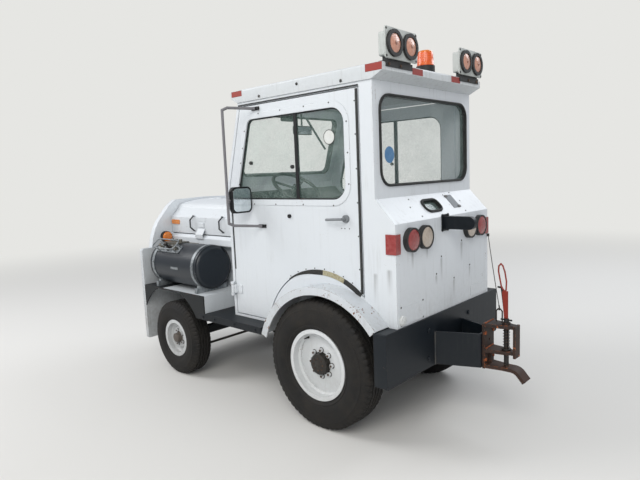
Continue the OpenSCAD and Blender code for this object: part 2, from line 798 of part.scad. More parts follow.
module roof() color(body_white) place() {
    edge_r = 14;
    skin_t = 27;
    difference() {
        intersection() {
            side_slab(-roof_w, roof_w) polygon(rounded([[roof_front_x, fascia_z],
                [roof_front_x, roof_top_z], [roof_rear_x, roof_top_z], [roof_rear_x, fascia_z],
                [rear_wall_x, cab_top_z], [screen_top_x, cab_top_z]],
                [0, edge_r, edge_r, 0, 0, 0]));
            cross_slab(roof_rear_x - 10, roof_front_x + 10) polygon(rounded(
                [[roof_w / 2, cab_top_z], [roof_w / 2, roof_top_z], [-roof_w / 2, roof_top_z],
                [-roof_w / 2, cab_top_z]], [0, edge_r, edge_r, 0]));
        }
        block([rear_wall_x + wall_t, -wall_in, cab_top_z - 1],
            [screen_top_x - wall_t - 5, wall_in, roof_top_z - skin_t]);
    }
}

module cab_floor() color(frame_black) place() difference() {
    block([slab_x + slab_t, -wall_in, deck_z], [cab_front_x - wall_t, wall_in, floor_top]);
    both() disc_y(guard_c, guard_in_y - seat, wall_in + 1, guard_r + seat, $fn = 128);
}

module rear_fender() {
    tail_angle = 180 - asin((slab_top_z - guard_c.y) / (guard_r - guard_t));
    arch = arc_points(guard_c, guard_r, guard_from, tail_angle, 40);
    difference() {
        union() {
            side_slab(guard_in_y, body_hw) polygon(strip(arch, guard_t));
            side_slab(body_hw - guard_t, body_hw) polygon(strip(arch, guard_lip));
            difference() {
                disc_y(guard_c, guard_in_y, guard_in_y + guard_t, guard_r - 1);
                block([-700, guard_in_y - 1, -300], [700, guard_in_y + guard_t + 1, deck_z]);
            }
        }
        block([-700, guard_in_y - 1, -300], [slab_x + slab_t + seat, body_hw + 1, slab_top_z + seat]);
    }
}

module rear_fenders() color(body_white) place() both() rear_fender();

// Cab inside

wheel_c = [500, 240, 1460];
column_tilt = 35;
column_r = 22;

module on_column() {
    translate(wheel_c) rotate([0, -column_tilt, 0]) children();
}

module dashboard() color(frame_black) place() {
    dash = [[cab_front_x - wall_t, 1160], [cab_front_x - wall_t, 1440], [790, 1440],
        [700, 1360], [700, 1300], [780, 1180]];
    difference() {
        union() {
            side_slab(-wall_in + 12, wall_in - 12) polygon(dash);
            on_column() translate([0, 0, -640]) cylinder(r = column_r, h = 610);
        }
        block([cab_front_x - wall_t, -200, 500], [cab_front_x + 100, 500, 1500]);
    }
}

module steering_wheel() color(tyre_black) place() on_column() {
    rim_r = 185;
    grip_r = 12;
    rotate_extrude($fn = 72) translate([rim_r - grip_r, 0]) circle(r = grip_r, $fn = 24);
    translate([0, 0, -29]) cylinder(r = 30, h = 40);
    for (k = [0:2]) rotate([0, 0, 60 + k * 120]) bar([20, 0, -8], [rim_r - grip_r, 0, 0], 8);
}

seat_y = 240;

module seat_base() color(frame_black) place()
    difference() {
        block([-330, seat_y - 180, floor_top], [130, seat_y + 180, 925]);
        block([-290, seat_y - 140, floor_top - 1], [90, seat_y + 140, 905]);
        block([100, seat_y - 130, floor_top + 60], [140, seat_y + 130, 860]);
    }

module cushion(w, l, t, r) {
    cross_slab(0, l) polygon(rounded(box_points([0, t / 2], w, t), [r, r, 8, 8]));
}

module seat_cushions() color([0.12, 0.12, 0.13]) place() {
    translate([-318, seat_y, 925 + seat]) cushion(440, 460, 95, 34);
    back = [[-212, 1024], [-300, 1024], [-366, 1440], [-350, 1468], [-300, 1468], [-282, 1440]];
    side_slab(seat_y - 210, seat_y + 210) polygon(rounded(back, [12, 20, 8, 14, 14, 8]));
}

// Rear bumper slab with its bracket box, the hitch and the rear arm

box_wall = 14;
box_bottom_z = 386;
box_rim_z = 588;
box_end_hw = box_hw * 0.46;
back_x = slab_x - box_len;

// Plan of the bracket box, which narrows towards the hitch, d inside its outer face
module box_plan(d) {
    end_y = box_end_hw - d * 0.7;
    polygon([[slab_x + 1, box_hw - d], [back_x + d, end_y], [back_x + d, -end_y],
        [slab_x + 1, d - box_hw]]);
}

module rear_bumper() color(frame_black) place() {
    cross_slab(slab_x, slab_x + slab_t) polygon(rounded(
        box_points([0, (slab_low_z + slab_top_z) / 2], track_body_w, slab_top_z - slab_low_z),
        [8, 8, 8, 8]));
    translate([0, 0, box_bottom_z]) {
        linear_extrude(box_rim_z - box_bottom_z) difference() {
            box_plan(0);
            box_plan(box_wall);
        }
        linear_extrude(box_wall) box_plan(0);
    }
}

flange_x = back_x - 15;
flange_hw = 63;
lip_r = 60;
lip_angle = 50;
lip_from = -945;
guard_x = pin_x - 66;

module pin_hole(z) {
    translate([pin_x, 0, z - 1]) cylinder(r = pin_r + run, h = hitch_t + 4);
}

// Plan of a hitch plate: wide at the flange, narrow where it meets the guard
module plate_plan(end_x, end_hw) {
    half = [[flange_x + 1, hitch_hw + 13], [flange_x - 12, hitch_hw + 10],
        [pin_x + 6, hitch_hw - 4], [pin_x - 34, end_hw + 3], [end_x, end_hw]];
    polygon(concat(half, [for (i = [len(half) - 1:-1:0]) [half[i].x, -half[i].y]]));
}

loop_x = pin_x + 73;
loop_y = -28;
loop_top_z = hitch_z[2] + hitch_t + 76;

module cable_loop() {
    foot = hitch_z[2] + hitch_t - 6;
    bent_bar([[loop_x, loop_y, foot], [loop_x, loop_y, loop_top_z - 12],
        [loop_x - 11, loop_y, loop_top_z], [loop_x - 25, loop_y, loop_top_z],
        [loop_x - 36, loop_y, loop_top_z - 12], [loop_x - 36, loop_y, foot]], 4);
}

module hitch_body() color(rust) place() {
    lip_z = hitch_z[0] + hitch_t / 2 - lip_r;
    out_r = lip_r + hitch_t / 2;
    run_out = (lip_from + tail_len - out_r * sin(lip_angle)) / cos(lip_angle);
    lip_dir = [-cos(lip_angle), -sin(lip_angle)];
    bend = arc_points([lip_from, lip_z], out_r, 90, 90 + lip_angle, 6);
    lip_end = bend[len(bend) - 1] + run_out * lip_dir;
    difference() {
        union() {
            block([flange_x, -flange_hw, hitch_z[0] - 2], [back_x, flange_hw, hitch_z[2] + hitch_t]);
            for (z = [hitch_z[1], hitch_z[2]]) translate([0, 0, z])
                linear_extrude(hitch_t) plate_plan(guard_x + 8, 22);
            translate([0, 0, hitch_z[0]]) linear_extrude(hitch_t)
                plate_plan(pin_x - 36, hitch_hw - 8);
            side_slab(-hitch_hw + 4, hitch_hw - 4) polygon(strip(
                concat([[flange_x + 1, hitch_z[0] + hitch_t]], bend, [lip_end]), hitch_t));
            block([flange_x - 16, -7, hitch_z[0] + hitch_t - 1], [flange_x + 1, 7, hitch_z[1] + 1]);
            block([guard_x, -33, hitch_z[1] - 14], [guard_x + 14, 33, hitch_z[2] + hitch_t]);
            translate([pin_x, 0, hitch_z[2] + hitch_t - 1]) cylinder(r = 23, h = 13);
        }
        for (z = hitch_z) pin_hole(z);
        translate([pin_x, 0, hitch_z[2]]) cylinder(r = pin_r + run, h = 60);
        disc_x([0, 541], flange_x - 1, back_x + 1, 9);
    }
    cable_loop();
}

collar_z = hitch_z[1] + hitch_t + seat;
collar_h = 10;
pin_top = 682;

module tow_pin() color(steel_dark) place() {
    translate([pin_x, 0, hitch_z[0] + 4]) cylinder(r = pin_r, h = pin_top - hitch_z[0] - 4);
    translate([pin_x, 0, collar_z]) cylinder(r = 26, h = collar_h);
    bar([pin_x - 33, 0, pin_top - 8], [pin_x + 33, 0, pin_top - 8], 5);
    translate([pin_x, 0, pin_top]) side_slab(-11.3, -5.3) polygon([[-3, -10], [7, -10], [20, 39],
        [35, 160], [37, 171], [56, 173], [56, 182], [27, 182], [20, 160], [2, 39]]);
}

module pin_handle() color(lamp_red) place() {
    loop = [[8, 156], [29, 179], [39, 228], [47, 272], [45, 302], [32, 316], [21, 304], [9, 270],
        [0, 216], [2, 170], [6, 154]];
    translate([pin_x, 0, pin_top]) {
        side_slab(-4, 4) polygon([[-9, seat], [13, seat], [25, 148], [21, 160], [-9, 160]]);
        bent_bar([for (p = loop) [p.x, 0, p.y]], 4.4);
    }
}

module pin_spring() color(steel_dark) place() {
    wire = 3.5;
    coils = 7;
    coil_r = pin_r + 1 + wire;
    z0 = collar_z + collar_h + wire / 2 + 0.2;
    z1 = hitch_z[2] - wire / 2 - 0.2;
    steps = coils * 12;
    coil = [for (k = [0:steps])
        [coil_r * cos(k * 30), coil_r * sin(k * 30), z0 + (z1 - z0) * k / steps]];
    translate([pin_x, 0, 0]) for (k = [0:steps - 1])
        hull() {
            translate(coil[k]) sphere(wire / 2, $fn = 6);
            translate(coil[k + 1]) sphere(wire / 2, $fn = 6);
        }
}

// Release cable: from an eye at the right corner of the rear panel down to the hitch's loop
cable_r = 2.5;
cable_start = [rear_panel_x - 9, -cab_hw + 6, 1087];
cable_end = [loop_x - 18, loop_y, loop_top_z + 11];
cable_sag = 14;

function cable_point(t) = cable_start + t * (cable_end - cable_start)
    - [0, 0, 4 * cable_sag * t * (1 - t)];

// A tube of eight sides swept along a list of points
module swept(points, r) {
    n = 8;
    last = len(points) - 1;
    rings = [for (i = [0:last]) let (d = points[min(i + 1, last)] - points[max(i - 1, 0)],
        u = cross(d, [0, 0, 1]), v = cross(d, u))
        for (k = [0:n - 1]) points[i] + r * (cos(k * 360 / n) * u / norm(u)
            + sin(k * 360 / n) * v / norm(v))];
    polyhedron(rings, concat([[for (k = [0:n - 1]) k]],
        [for (i = [0:last - 1]) for (k = [0:n - 1]) let (a = i * n, b = (k + 1) % n)
            [a + k, a + n + k, a + n + b, a + b]],
        [[for (k = [n - 1:-1:0]) last * n + k]]), convexity = 4);
}

module release_cable() color(steel_dark) place() {
    swept([for (k = [0:48]) cable_point(k / 48)], cable_r);
    block([rear_panel_x - 16, -cab_hw + 2, 1077], [rear_panel_x - seat, -cab_hw + 10, 1097]);
    bar(cable_point(0.975), cable_end, 4);
    translate([cable_end.x, loop_y, loop_top_z + 0.5]) rotate([90, 0, 90])
        rotate_extrude() translate([7.6, 0]) circle(2.5);
}

module rear_arm() color(frame_black) place() {
    y0 = 28;
    z0 = 1190;
    h = 76;
    tip = -735;
    block([rear_panel_x - 6, y0 - 40, z0 - 12], [rear_panel_x - seat, y0 + 40, z0 + h + 12]);
    side_slab(y0 - 18, y0 + 18) {
        polygon([[tip + h / 2, z0], [rear_panel_x - 5, z0], [rear_panel_x - 5, z0 + h],
            [tip + h / 2, z0 + h]]);
        translate([tip + h / 2, z0 + h / 2]) circle(r = h / 2);
    }
}

// Lamps

tail_z = 1168;
tail_red_y = 415;
tail_white_y = 272;
tail_r = 68.5;
head_y = 430;
head_z = 1110;
head_r = 90;
turn_y = 452;
turn_z = 1073;
turn_r = 46;
box_x = -495;
box_y = [247, 548];
box_z = [2136, 2296];
box_depth = 56;
box_lamp_r = 51;
box_lamp_ys = [322, 473];
beacon_x = -400;

box_mid_z = (box_z[0] + box_z[1]) / 2;
bezel_r = 70;
bowl_r = 57;
flange_t = 8;

module roof_lamp_box() {
    mid_y = (box_y[0] + box_y[1]) / 2;
    w = box_y[1] - box_y[0];
    h = box_z[1] - box_z[0];
    difference() {
        union() {
            cross_slab(box_x, box_x + flange_t) polygon(rounded(
                box_points([mid_y, box_mid_z], w, h), [10, 10, 10, 10]));
            cross_slab(box_x + flange_t - 1, box_x + box_depth) polygon(rounded(
                box_points([mid_y, box_mid_z - 2], w - 34, h - 36), [12, 12, 12, 12]));
        }
        for (y = box_lamp_ys) disc_x([y, box_mid_z], box_x - 1, box_x + 20, bowl_r);
    }
}

// Angle on the fascia's edge that carries a lamp box
module lamp_bracket() {
    y0 = box_y[0] + 28;
    y1 = box_y[1] - 20;
    block([roof_rear_x - 5, y0, roof_top_z - 27], [roof_rear_x - seat, y1, roof_top_z + 6]);
    block([roof_rear_x - 5, y0, roof_top_z + seat], [roof_rear_x + 44, y1, roof_top_z + 6]);
    block([box_x + flange_t + 3, y0 + 20, roof_top_z + 5],
        [box_x + box_depth - 6, y1 - 20, box_mid_z - (box_z[1] - box_z[0] - 36) / 2 - 2 - seat]);
}

module roof_lamp_boxes() color([0.75, 0.76, 0.76]) place() both() roof_lamp_box();

module lamp_bodies() color(frame_black) place() {
    both() {
        for (y = [tail_red_y, tail_white_y]) difference() {
            disc_x([y, tail_z], rear_panel_x - 30, rear_panel_x - seat, tail_r);
            disc_x([y, tail_z], rear_panel_x - 31, rear_panel_x - 14, tail_r - 9);
        }
        difference() {
            disc_x([head_y, head_z], nose_front + seat, nose_front + 14, head_r);
            disc_x([head_y, head_z], nose_front + 5, nose_front + 15, head_r - 8);
        }
        disc_x([turn_y, turn_z], nose_rear - 34, nose_rear - seat, turn_r);
        for (y = box_lamp_ys) difference() {
            union() {
                disc_x([y, box_mid_z], box_x - 15, box_x - seat, bezel_r);
                disc_x([y, box_mid_z], box_x - 1, box_x + 20 - seat, bowl_r - seat);
            }
            disc_x([y, box_mid_z], box_x - 16, box_x + 6, box_lamp_r);
        }
        lamp_bracket();
    }
    translate([beacon_x, 0, roof_top_z + seat]) cylinder(r = 56, h = 42);
}

// A lens: a flat disc with a domed face, along X towards dir
module lens(c, x, dir, r, t, dome) {
    translate([x, c.x, c.y]) rotate([0, dir * 90, 0]) rotate_extrude()
        polygon(concat([[0, 0], [r, 0], [r, t]],
            [for (a = [15:15:75]) [r * cos(a), t + dome * sin(a)]], [[0, t + dome]]));
}

module corner_reflector() {
    block([rear_panel_x - 6, cab_hw - 40, 1100], [rear_panel_x - seat, cab_hw + 6, 1210]);
    block([rear_panel_x - 6, cab_hw + seat, 1100], [rear_panel_x + 62, cab_hw + 6, 1210]);
}

module lenses_red() color(lamp_red) place() {
    both() {
        lens([tail_red_y, tail_z], rear_panel_x - 14 - seat, -1, tail_r - 9 - seat, 12, 9);
        corner_reflector();
        for (y = box_lamp_ys)
            lens([y, box_mid_z], box_x + 6 - seat, -1, box_lamp_r - seat, 8, 6);
    }
}

module lenses_amber() color(lamp_amber) place() {
    both() lens([turn_y, turn_z], nose_rear - 34 - seat, -1, turn_r - 4, 8, 12);
    translate([beacon_x, 0, roof_top_z + 42 + 2 * seat]) rotate_extrude()
        polygon(concat([[0, 0], [50, 0]], arc_points([30, 77], 14, 0, 90, 5), [[0, 91]]));
}

module lenses_clear() color([0.85, 0.88, 0.88]) place() both() {
    lens([tail_white_y, tail_z], rear_panel_x - 14 - seat, -1, tail_r - 9 - seat, 12, 9);
    lens([head_y, head_z], nose_front + 5 + seat, 1, head_r - 8 - seat, 6, 5);
}

// Doors

win_pts = [[raked_x(134, 1405), 1405], [raked_x(134, belt_z), belt_z], [raked_x(134, 1915), 1915],
    [-194, 1915], [-194, 1405]];
win_r = [34, 0, 45, 85, 85];
win_grown = 8;

module window_shape(d) {
    polygon(rounded(grow(win_pts, d), [for (r = win_r) r > 0 ? r + d : 0]));
}

module door_shape() {
    d = pillar_w + door_gap;
    difference() {
        polygon([[raked_x(d, 0), door_low_z], [raked_x(d, belt_z), belt_z],
            [raked_x(d, door_top_z), door_top_z], [door_rear_x, door_top_z],
            [door_rear_x, door_low_z]]);
        translate(door_arch_c) circle(r = door_arch_r, $fn = 128);
    }
}

module door() {
    leaf_t = 5;
    difference() {
        union() {
            side_slab(wall_in, cab_hw) door_shape();
            side_slab(cab_hw - 1, cab_hw + 3) window_shape(45);
            for (z = hinge_zs) {
                block([hinge_x - 80, cab_hw - 1, z - knuckle_h / 2],
                    [hinge_x - 19, cab_hw + leaf_t, z + knuckle_h / 2]);
                block([hinge_x - 27, cab_hw + leaf_t, z - knuckle_h / 2],
                    [hinge_x, hinge_y - 3, z + knuckle_h / 2]);
                translate([hinge_x, hinge_y, z - knuckle_h / 2]) cylinder(r = 11, h = knuckle_h);
                block([hinge_x - 27, cab_hw - 1, z - knuckle_h / 2],
                    [hinge_x - 19, cab_hw + leaf_t + 1, z + knuckle_h / 2]);
            }
        }
        side_slab(wall_in - 1, cab_hw + 5) window_shape(win_grown);
        for (z = hinge_zs) translate([hinge_x, hinge_y, z - 60])
            cylinder(r = hinge_pin_r + run, h = 120);
    }
}

module door_left() color(body_white) place() door();
module door_right() color(body_white) place() right_of() door();

divider_x = 190;
divider_w = 24;
glass_mid = cab_hw - wall_t / 2;

module door_glass() {
    difference() {
        side_slab(glass_mid - pane_t / 2, glass_mid + pane_t / 2) window_shape(-seat);
        block([divider_x - divider_w / 2 - seat, 0, 1300], [divider_x + divider_w / 2 + seat, 700, 2000]);
    }
}

module door_glass_left() color([0.55, 0.68, 0.66, 0.5]) place() door_glass();
module door_glass_right() color([0.55, 0.68, 0.66, 0.5]) place() right_of() door_glass();

mirror_c = [620, cab_hw + 97, 1400];

module mirror_on_arm() {
    arm_r = 9;
    tube_x = 632;
    tube_y = cab_hw + 195;
    for (m = [[530, 1985], [521, 1221]])
        block([m[0] - 34, cab_hw + seat, m[1] - 11], [m[0] + 34, cab_hw + 9, m[1] + 11]);
    bent_bar([[530, cab_hw + 9, 1985], [tube_x - 14, tube_y - 30, 1990], [tube_x, tube_y, 1975],
        [tube_x, tube_y, 1252], [tube_x - 14, tube_y - 30, 1236], [521, cab_hw + 9, 1221]], arm_r);
    cross_slab(mirror_c.x - 15, mirror_c.x + 15) polygon(rounded(
        box_points([mirror_c.y, mirror_c.z], 165, 172), [34, 34, 34, 34]));
    bar([tube_x - 6, tube_y, mirror_c.z], [tube_x - 6, mirror_c.y + 60, mirror_c.z], 8);
}

module door_handle() {
    base = [-198, 1288];
    disc_y(base, cab_hw + seat, cab_hw + 14, 22);
    bar([base.x, cab_hw + 10, base.y], [base.x, cab_hw + 40, base.y], 9);
    bent_bar([[base.x, cab_hw + 40, base.y], [base.x + 60, cab_hw + 44, base.y - 2],
        [base.x + 124, cab_hw + 38, base.y - 6]], 8);
    disc_y([262, 1293], cab_hw + seat, cab_hw + 12, 12);
}

module door_fittings() {
    rubber_t = 16;
    side_slab(glass_mid - rubber_t / 2, glass_mid + rubber_t / 2) difference() {
        window_shape(win_grown - seat);
        window_shape(0);
    }
    intersection() {
        block([divider_x - divider_w / 2, glass_mid - rubber_t / 2, 1380],
            [divider_x + divider_w / 2, glass_mid + rubber_t / 2, 1990]);
        side_slab(0, cab_hw) window_shape(2);
    }
    mirror_on_arm();
    door_handle();
}

module door_fittings_left() color(frame_black) place() door_fittings();
module door_fittings_right() color(frame_black) place() right_of() door_fittings();

// Wheels. Each is drawn about the Y axis, with y = 0 at the tyre's middle and +y outboard.

// Half section (r, y) of a tyre, from the bead round the side to the tread
function tyre_half(bead, r, w, rim_w) = let (h = r - bead)
    [[bead + 0.3, rim_w / 2 - 1], [bead + 0.12 * h, rim_w / 2 - 0.5], [bead + 0.28 * h, w * 0.475],
    [bead + 0.45 * h, w / 2], [bead + 0.62 * h, w * 0.49], [bead + 0.8 * h, w * 0.45],
    [bead + 0.93 * h, w * 0.395], [r - 1, w * 0.33], [r, w * 0.28]];

module turned() {
    rotate([-90, 0, 0]) rotate_extrude($fn = 96) children();
}

module tyre(bead, r, w, rim_w) {
    half = tyre_half(bead, r, w, rim_w);
    turned() polygon(concat(half, [for (i = [len(half) - 1:-1:0]) [half[i].x, -half[i].y]]));
}

rear_rim_w = 150;
front_rim_w = 126;
rear_mid_y = rear_outer_y - rear_tyre_w / 2;
front_mid_y = front_outer_y - front_tyre_w / 2;

// Rim with its two flanges, dished disc, hub and nuts; disc_y0 is the disc's outer face
module wheel(bead, rim_w, flange_h, disc_out, bore_r, hub_r, hub_y, pcd, nuts, nut_r, drum) {
    t = 7;
    half_w = rim_w / 2;
    turned() difference() {
        union() {
            polygon([[bead - t, -half_w - t], [bead + flange_h, -half_w - t],
                [bead + flange_h, -half_w], [bead, -half_w], [bead, -half_w * 0.55],
                [bead - 10, -half_w * 0.4], [bead - 10, half_w * 0.4], [bead, half_w * 0.55],
                [bead, half_w], [bead + flange_h, half_w], [bead + flange_h, half_w + t],
                [bead - t, half_w + t], [bead - t, half_w * 0.5], [bead - 10 - t, half_w * 0.35],
                [bead - 10 - t, -half_w * 0.35], [bead - t, -half_w * 0.5]]);
            polygon([[hub_r - 8, disc_out - 9], [hub_r + 40, disc_out - 9],
                [bead - 30, disc_out - 24], [bead - 9, disc_out - 30], [bead - 9, disc_out - 14],
                [bead - 34, disc_out - 12], [hub_r + 44, disc_out], [hub_r - 8, disc_out]]);
            polygon([[0, hub_y[0]], [hub_r, hub_y[0]], [hub_r, hub_y[1]], [0, hub_y[1]]]);
        }
        polygon([[0, hub_y[0] - 1], [bore_r, hub_y[0] - 1], [bore_r, hub_y[1] - 8], [0, hub_y[1] - 8]]);
    }
    if (drum > 0) turned() polygon([[hub_r - 2, hub_y[0]], [drum, hub_y[0]],
        [drum, hub_y[0] + 70], [hub_r + 20, disc_out - 20], [hub_r + 20, disc_out - 8],
        [hub_r - 2, disc_out - 8]]);
    for (k = [0:nuts - 1]) rotate([0, k * 360 / nuts, 0]) translate([pcd / 2, disc_out - 1, 0])
        rotate([-90, 0, 0]) cylinder(r = nut_r, h = 16, $fn = 6);
}

module rear_wheel() {
    wheel(rear_bead_r, rear_rim_w, 18, 595 - rear_mid_y, spindle_r + run, 62,
        [drum_in - rear_mid_y, 630 - rear_mid_y], 165.1, 8, 14, 140);
}

module front_wheel() {
    wheel(front_bead_r, front_rim_w, 20, 606 - front_mid_y, spindle_front_r + run, 36,
        [web_y + 24 + 8 + seat - front_mid_y, 640 - front_mid_y], 114, 5, 11, 0);
}

module at_rear() {
    translate([0, rear_mid_y, rear_axle_z]) children();
}

module at_front() {
    translate([front_x, front_mid_y, front_axle_z]) children();
}

module tyre_rear_left() color(tyre_black) place() at_rear()
    tyre(rear_bead_r, rear_tyre_r, rear_tyre_w, rear_rim_w);
module tyre_rear_right() color(tyre_black) place() right_of() at_rear()
    tyre(rear_bead_r, rear_tyre_r, rear_tyre_w, rear_rim_w);
module tyre_front_left() color(tyre_black) place() at_front()
    tyre(front_bead_r, front_tyre_r, front_tyre_w, front_rim_w);
module tyre_front_right() color(tyre_black) place() right_of() at_front()
    tyre(front_bead_r, front_tyre_r, front_tyre_w, front_rim_w);
module wheel_rear_left() color(body_white) place() at_rear() rear_wheel();
module wheel_rear_right() color(body_white) place() right_of() at_rear() rear_wheel();
module wheel_front_left() color(body_white) place() at_front() front_wheel();
module wheel_front_right() color(body_white) place() right_of() at_front() front_wheel();

chassis_frame();
rear_axle();
front_axle();
engine_block();
front_plate();
front_rubber();
rear_bumper();
hitch_body();
nose_cowl();
grille();
engine_sides();
front_fenders();
lpg_tank();
tank_straps();
tank_valves();
cab_sides();
cab_front();
cab_rear();
roof();
cab_floor();
rear_fenders();
window_rubbers();
cab_glass();
dashboard();
steering_wheel();
seat_base();
seat_cushions();
rear_arm();
roof_lamp_boxes();
lamp_bodies();
lenses_red();
lenses_amber();
lenses_clear();
door_left();
door_right();
door_glass_left();
door_glass_right();
door_fittings_left();
door_fittings_right();
hood_cover_left();
hood_cover_right();
knuckle_left();
knuckle_right();
tie_rod();
tyre_rear_left();
tyre_rear_right();
tyre_front_left();
tyre_front_right();
wheel_rear_left();
wheel_rear_right();
wheel_front_left();
wheel_front_right();
tow_pin();
pin_handle();
pin_spring();
release_cable();
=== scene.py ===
from math import atan2, copysign, cos, hypot, radians, sin, tau

import bmesh
import bpy
from mathutils import Matrix, Vector


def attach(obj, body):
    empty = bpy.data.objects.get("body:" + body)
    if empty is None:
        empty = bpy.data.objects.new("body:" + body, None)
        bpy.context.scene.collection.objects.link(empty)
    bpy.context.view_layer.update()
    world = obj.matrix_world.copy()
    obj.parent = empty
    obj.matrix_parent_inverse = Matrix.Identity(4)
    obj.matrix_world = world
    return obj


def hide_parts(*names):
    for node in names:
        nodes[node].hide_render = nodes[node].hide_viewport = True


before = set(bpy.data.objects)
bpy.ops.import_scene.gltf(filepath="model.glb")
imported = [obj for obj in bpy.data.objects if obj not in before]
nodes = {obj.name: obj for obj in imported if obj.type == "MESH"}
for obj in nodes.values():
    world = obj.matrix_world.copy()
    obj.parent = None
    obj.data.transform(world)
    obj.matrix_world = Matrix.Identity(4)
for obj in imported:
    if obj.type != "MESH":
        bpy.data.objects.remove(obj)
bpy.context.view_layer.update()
scene = bpy.context.scene
AHEAD, BACK, UP, DOWN = (1, 0, 0), (-1, 0, 0), (0, 0, 1), (0, 0, -1)
SIDES = (("left", 1), ("right", -1))

# Camera. The tug is seen from behind its left rear corner, from a standing eye, with the view
# turned a little clockwise. The numbers were solved from the wheels and the cab's edges.
eye = Vector((-2.626, 2.928, 1.556))
yaw, pitch, roll = -0.8298, -0.1242, -0.0415
focal_px, photo_w = 538.0, 640
look = Vector((cos(yaw) * cos(pitch), sin(yaw) * cos(pitch), sin(pitch)))
level = look.cross(Vector(UP)).normalized()
upright = level.cross(look)
right = cos(roll) * level + sin(roll) * upright
above = -sin(roll) * level + cos(roll) * upright
camera = bpy.data.objects.new("camera", bpy.data.cameras.new("camera"))
scene.collection.objects.link(camera)
camera.matrix_world = Matrix.Translation(eye) @ Matrix((right, above, -look)).transposed().to_4x4()
camera.data.sensor_width = 36.0
camera.data.lens = focal_px / photo_w * camera.data.sensor_width
camera.data.clip_end = 200
scene.camera = camera
scene.view_settings.view_transform = "Standard"


# Floor and light. A pale concrete-coloured studio floor runs into a pale backdrop. A broad soft
# box stands for the open sky on the tug's left, two more fill it, and the world lights the shade.
def linear(code):
    """An sRGB hex colour as the linear RGBA that a shader socket takes."""
    parts = [int(code[i : i + 2], 16) / 255 for i in (1, 3, 5)]
    return tuple(p / 12.92 if p <= 0.04045 else ((p + 0.055) / 1.055) ** 2.4 for p in parts) + (1.0,)


def feed(tree, node, links):
    """Gives inputs of a node a value, a hex colour or another node's socket."""
    for socket, value in links.items():
        if isinstance(value, bpy.types.NodeSocket):
            tree.links.new(value, node.inputs[socket])
        else:
            node.inputs[socket].default_value = linear(value) if isinstance(value, str) else value


def add(tree, kind, links, out=0, **settings):
    """One shader node with its inputs and settings; gives one of its outputs."""
    node = tree.nodes.new("ShaderNode" + kind)
    for name, value in settings.items():
        setattr(node, name, value)
    feed(tree, node, links)
    return node.outputs[out]


def calc(tree, operation, *values, clamp=False):
    return add(tree, "Math", dict(enumerate(values)), operation=operation, use_clamp=clamp)


def ramp(tree, value, start, end, least=0.0, most=1.0, **settings):
    """Goes from least to most while value goes from start to end."""
    return add(tree, "MapRange", dict(enumerate((value, start, end, least, most))), **settings)


def noise(tree, place, scale, detail, rough):
    return add(tree, "TexNoise", {"Vector": place, "Scale": scale, "Detail": detail, "Roughness": rough})


def blend(tree, share, first, second):
    return add(tree, "Mix", {0: share, 6: first, 7: second}, 2, data_type="RGBA")


def finish_of(name):
    """A new material, its node tree, its surface shader and its object coordinates."""
    made = bpy.data.materials.new(name)
    made.use_nodes = True
    tree = made.node_tree
    return made, tree, tree.nodes["Principled BSDF"], add(tree, "TexCoord", {}, "Object")


def only(*pieces):
    """Selects these objects and nothing else; the first one is the active one."""
    bpy.ops.object.select_all(action="DESELECT")
    for piece in pieces:
        piece.select_set(True)
    bpy.context.view_layer.objects.active = pieces[0]


pale_grey = "#E6E6E3"
bpy.ops.mesh.primitive_plane_add(size=80)
floor = bpy.context.object
floor.name = "floor"
floor_paint, ground, near_floor, place = finish_of("pale_floor")
feed(ground, near_floor, {"Base Color": "#DAD9D6", "Roughness": 0.9})
# seen from the camera, the floor turns into the backdrop between 4 and 11 metres out
away = add(ground, "VectorMath", {0: place}, "Value", operation="LENGTH")
fade = ramp(ground, away, 4.0, 11.0, interpolation_type="SMOOTHSTEP")
seen_far = calc(ground, "MULTIPLY", fade, add(ground, "LightPath", {}, "Is Camera Ray"))
far_floor = add(ground, "Emission", {"Color": pale_grey, "Strength": 1.0})
feed(ground, ground.nodes["Material Output"],
     {"Surface": add(ground, "MixShader", {0: seen_far, 1: near_floor.outputs[0], 2: far_floor})})
floor.data.materials.append(floor_paint)

world = bpy.data.worlds.new("studio")
scene.world = world
world.use_nodes = True
sky = world.node_tree
sky.nodes.clear()
rays = sky.nodes.new("ShaderNodeLightPath").outputs
seen = calc(sky, "MAXIMUM", rays["Is Camera Ray"], rays["Is Transmission Ray"])
fill = add(sky, "Background", {"Color": "#F4F6FA", "Strength": 0.58})
backdrop = add(sky, "Background", {"Color": pale_grey, "Strength": 1.0})
feed(sky, sky.nodes.new("ShaderNodeOutputWorld"),
     {"Surface": add(sky, "MixShader", {0: seen, 1: fill, 2: backdrop})})


def soft_box(name, place, target, width, power, tint):
    """A square lamp at place, turned to target."""
    data = bpy.data.lights.new(name, "AREA")
    data.size, data.energy, data.color = width, power, linear(tint)[:3]
    box = bpy.data.objects.new(name, data)
    scene.collection.objects.link(box)
    box.location = place
    box.rotation_euler = (Vector(target) - Vector(place)).to_track_quat("-Z", "Y").to_euler()


soft_box("sky_side", (-3.5, 5.5, 5.0), (-0.2, 0, 1.0), 4.0, 270, "#FFFDF8")
soft_box("sky_front", (5.0, 4.0, 5.5), (0.3, 0, 0.9), 3.5, 240, "#FFFFFF")
soft_box("sky_back", (-2.0, -6.0, 6.0), (0, 0, 1.2), 4.0, 220, "#F6FAFF")


# Chassis frame, axles and engine. Two rails of folded plate carry the axles on leaf springs, all in
# blue-black chassis enamel that is dull with road dust. The engine and the moving joints are greasy.
def dress(material, *names):
    """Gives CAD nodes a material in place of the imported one, and hands it back."""
    for name in names:
        nodes[name].data.materials.clear()
        nodes[name].data.materials.append(material)
    return material


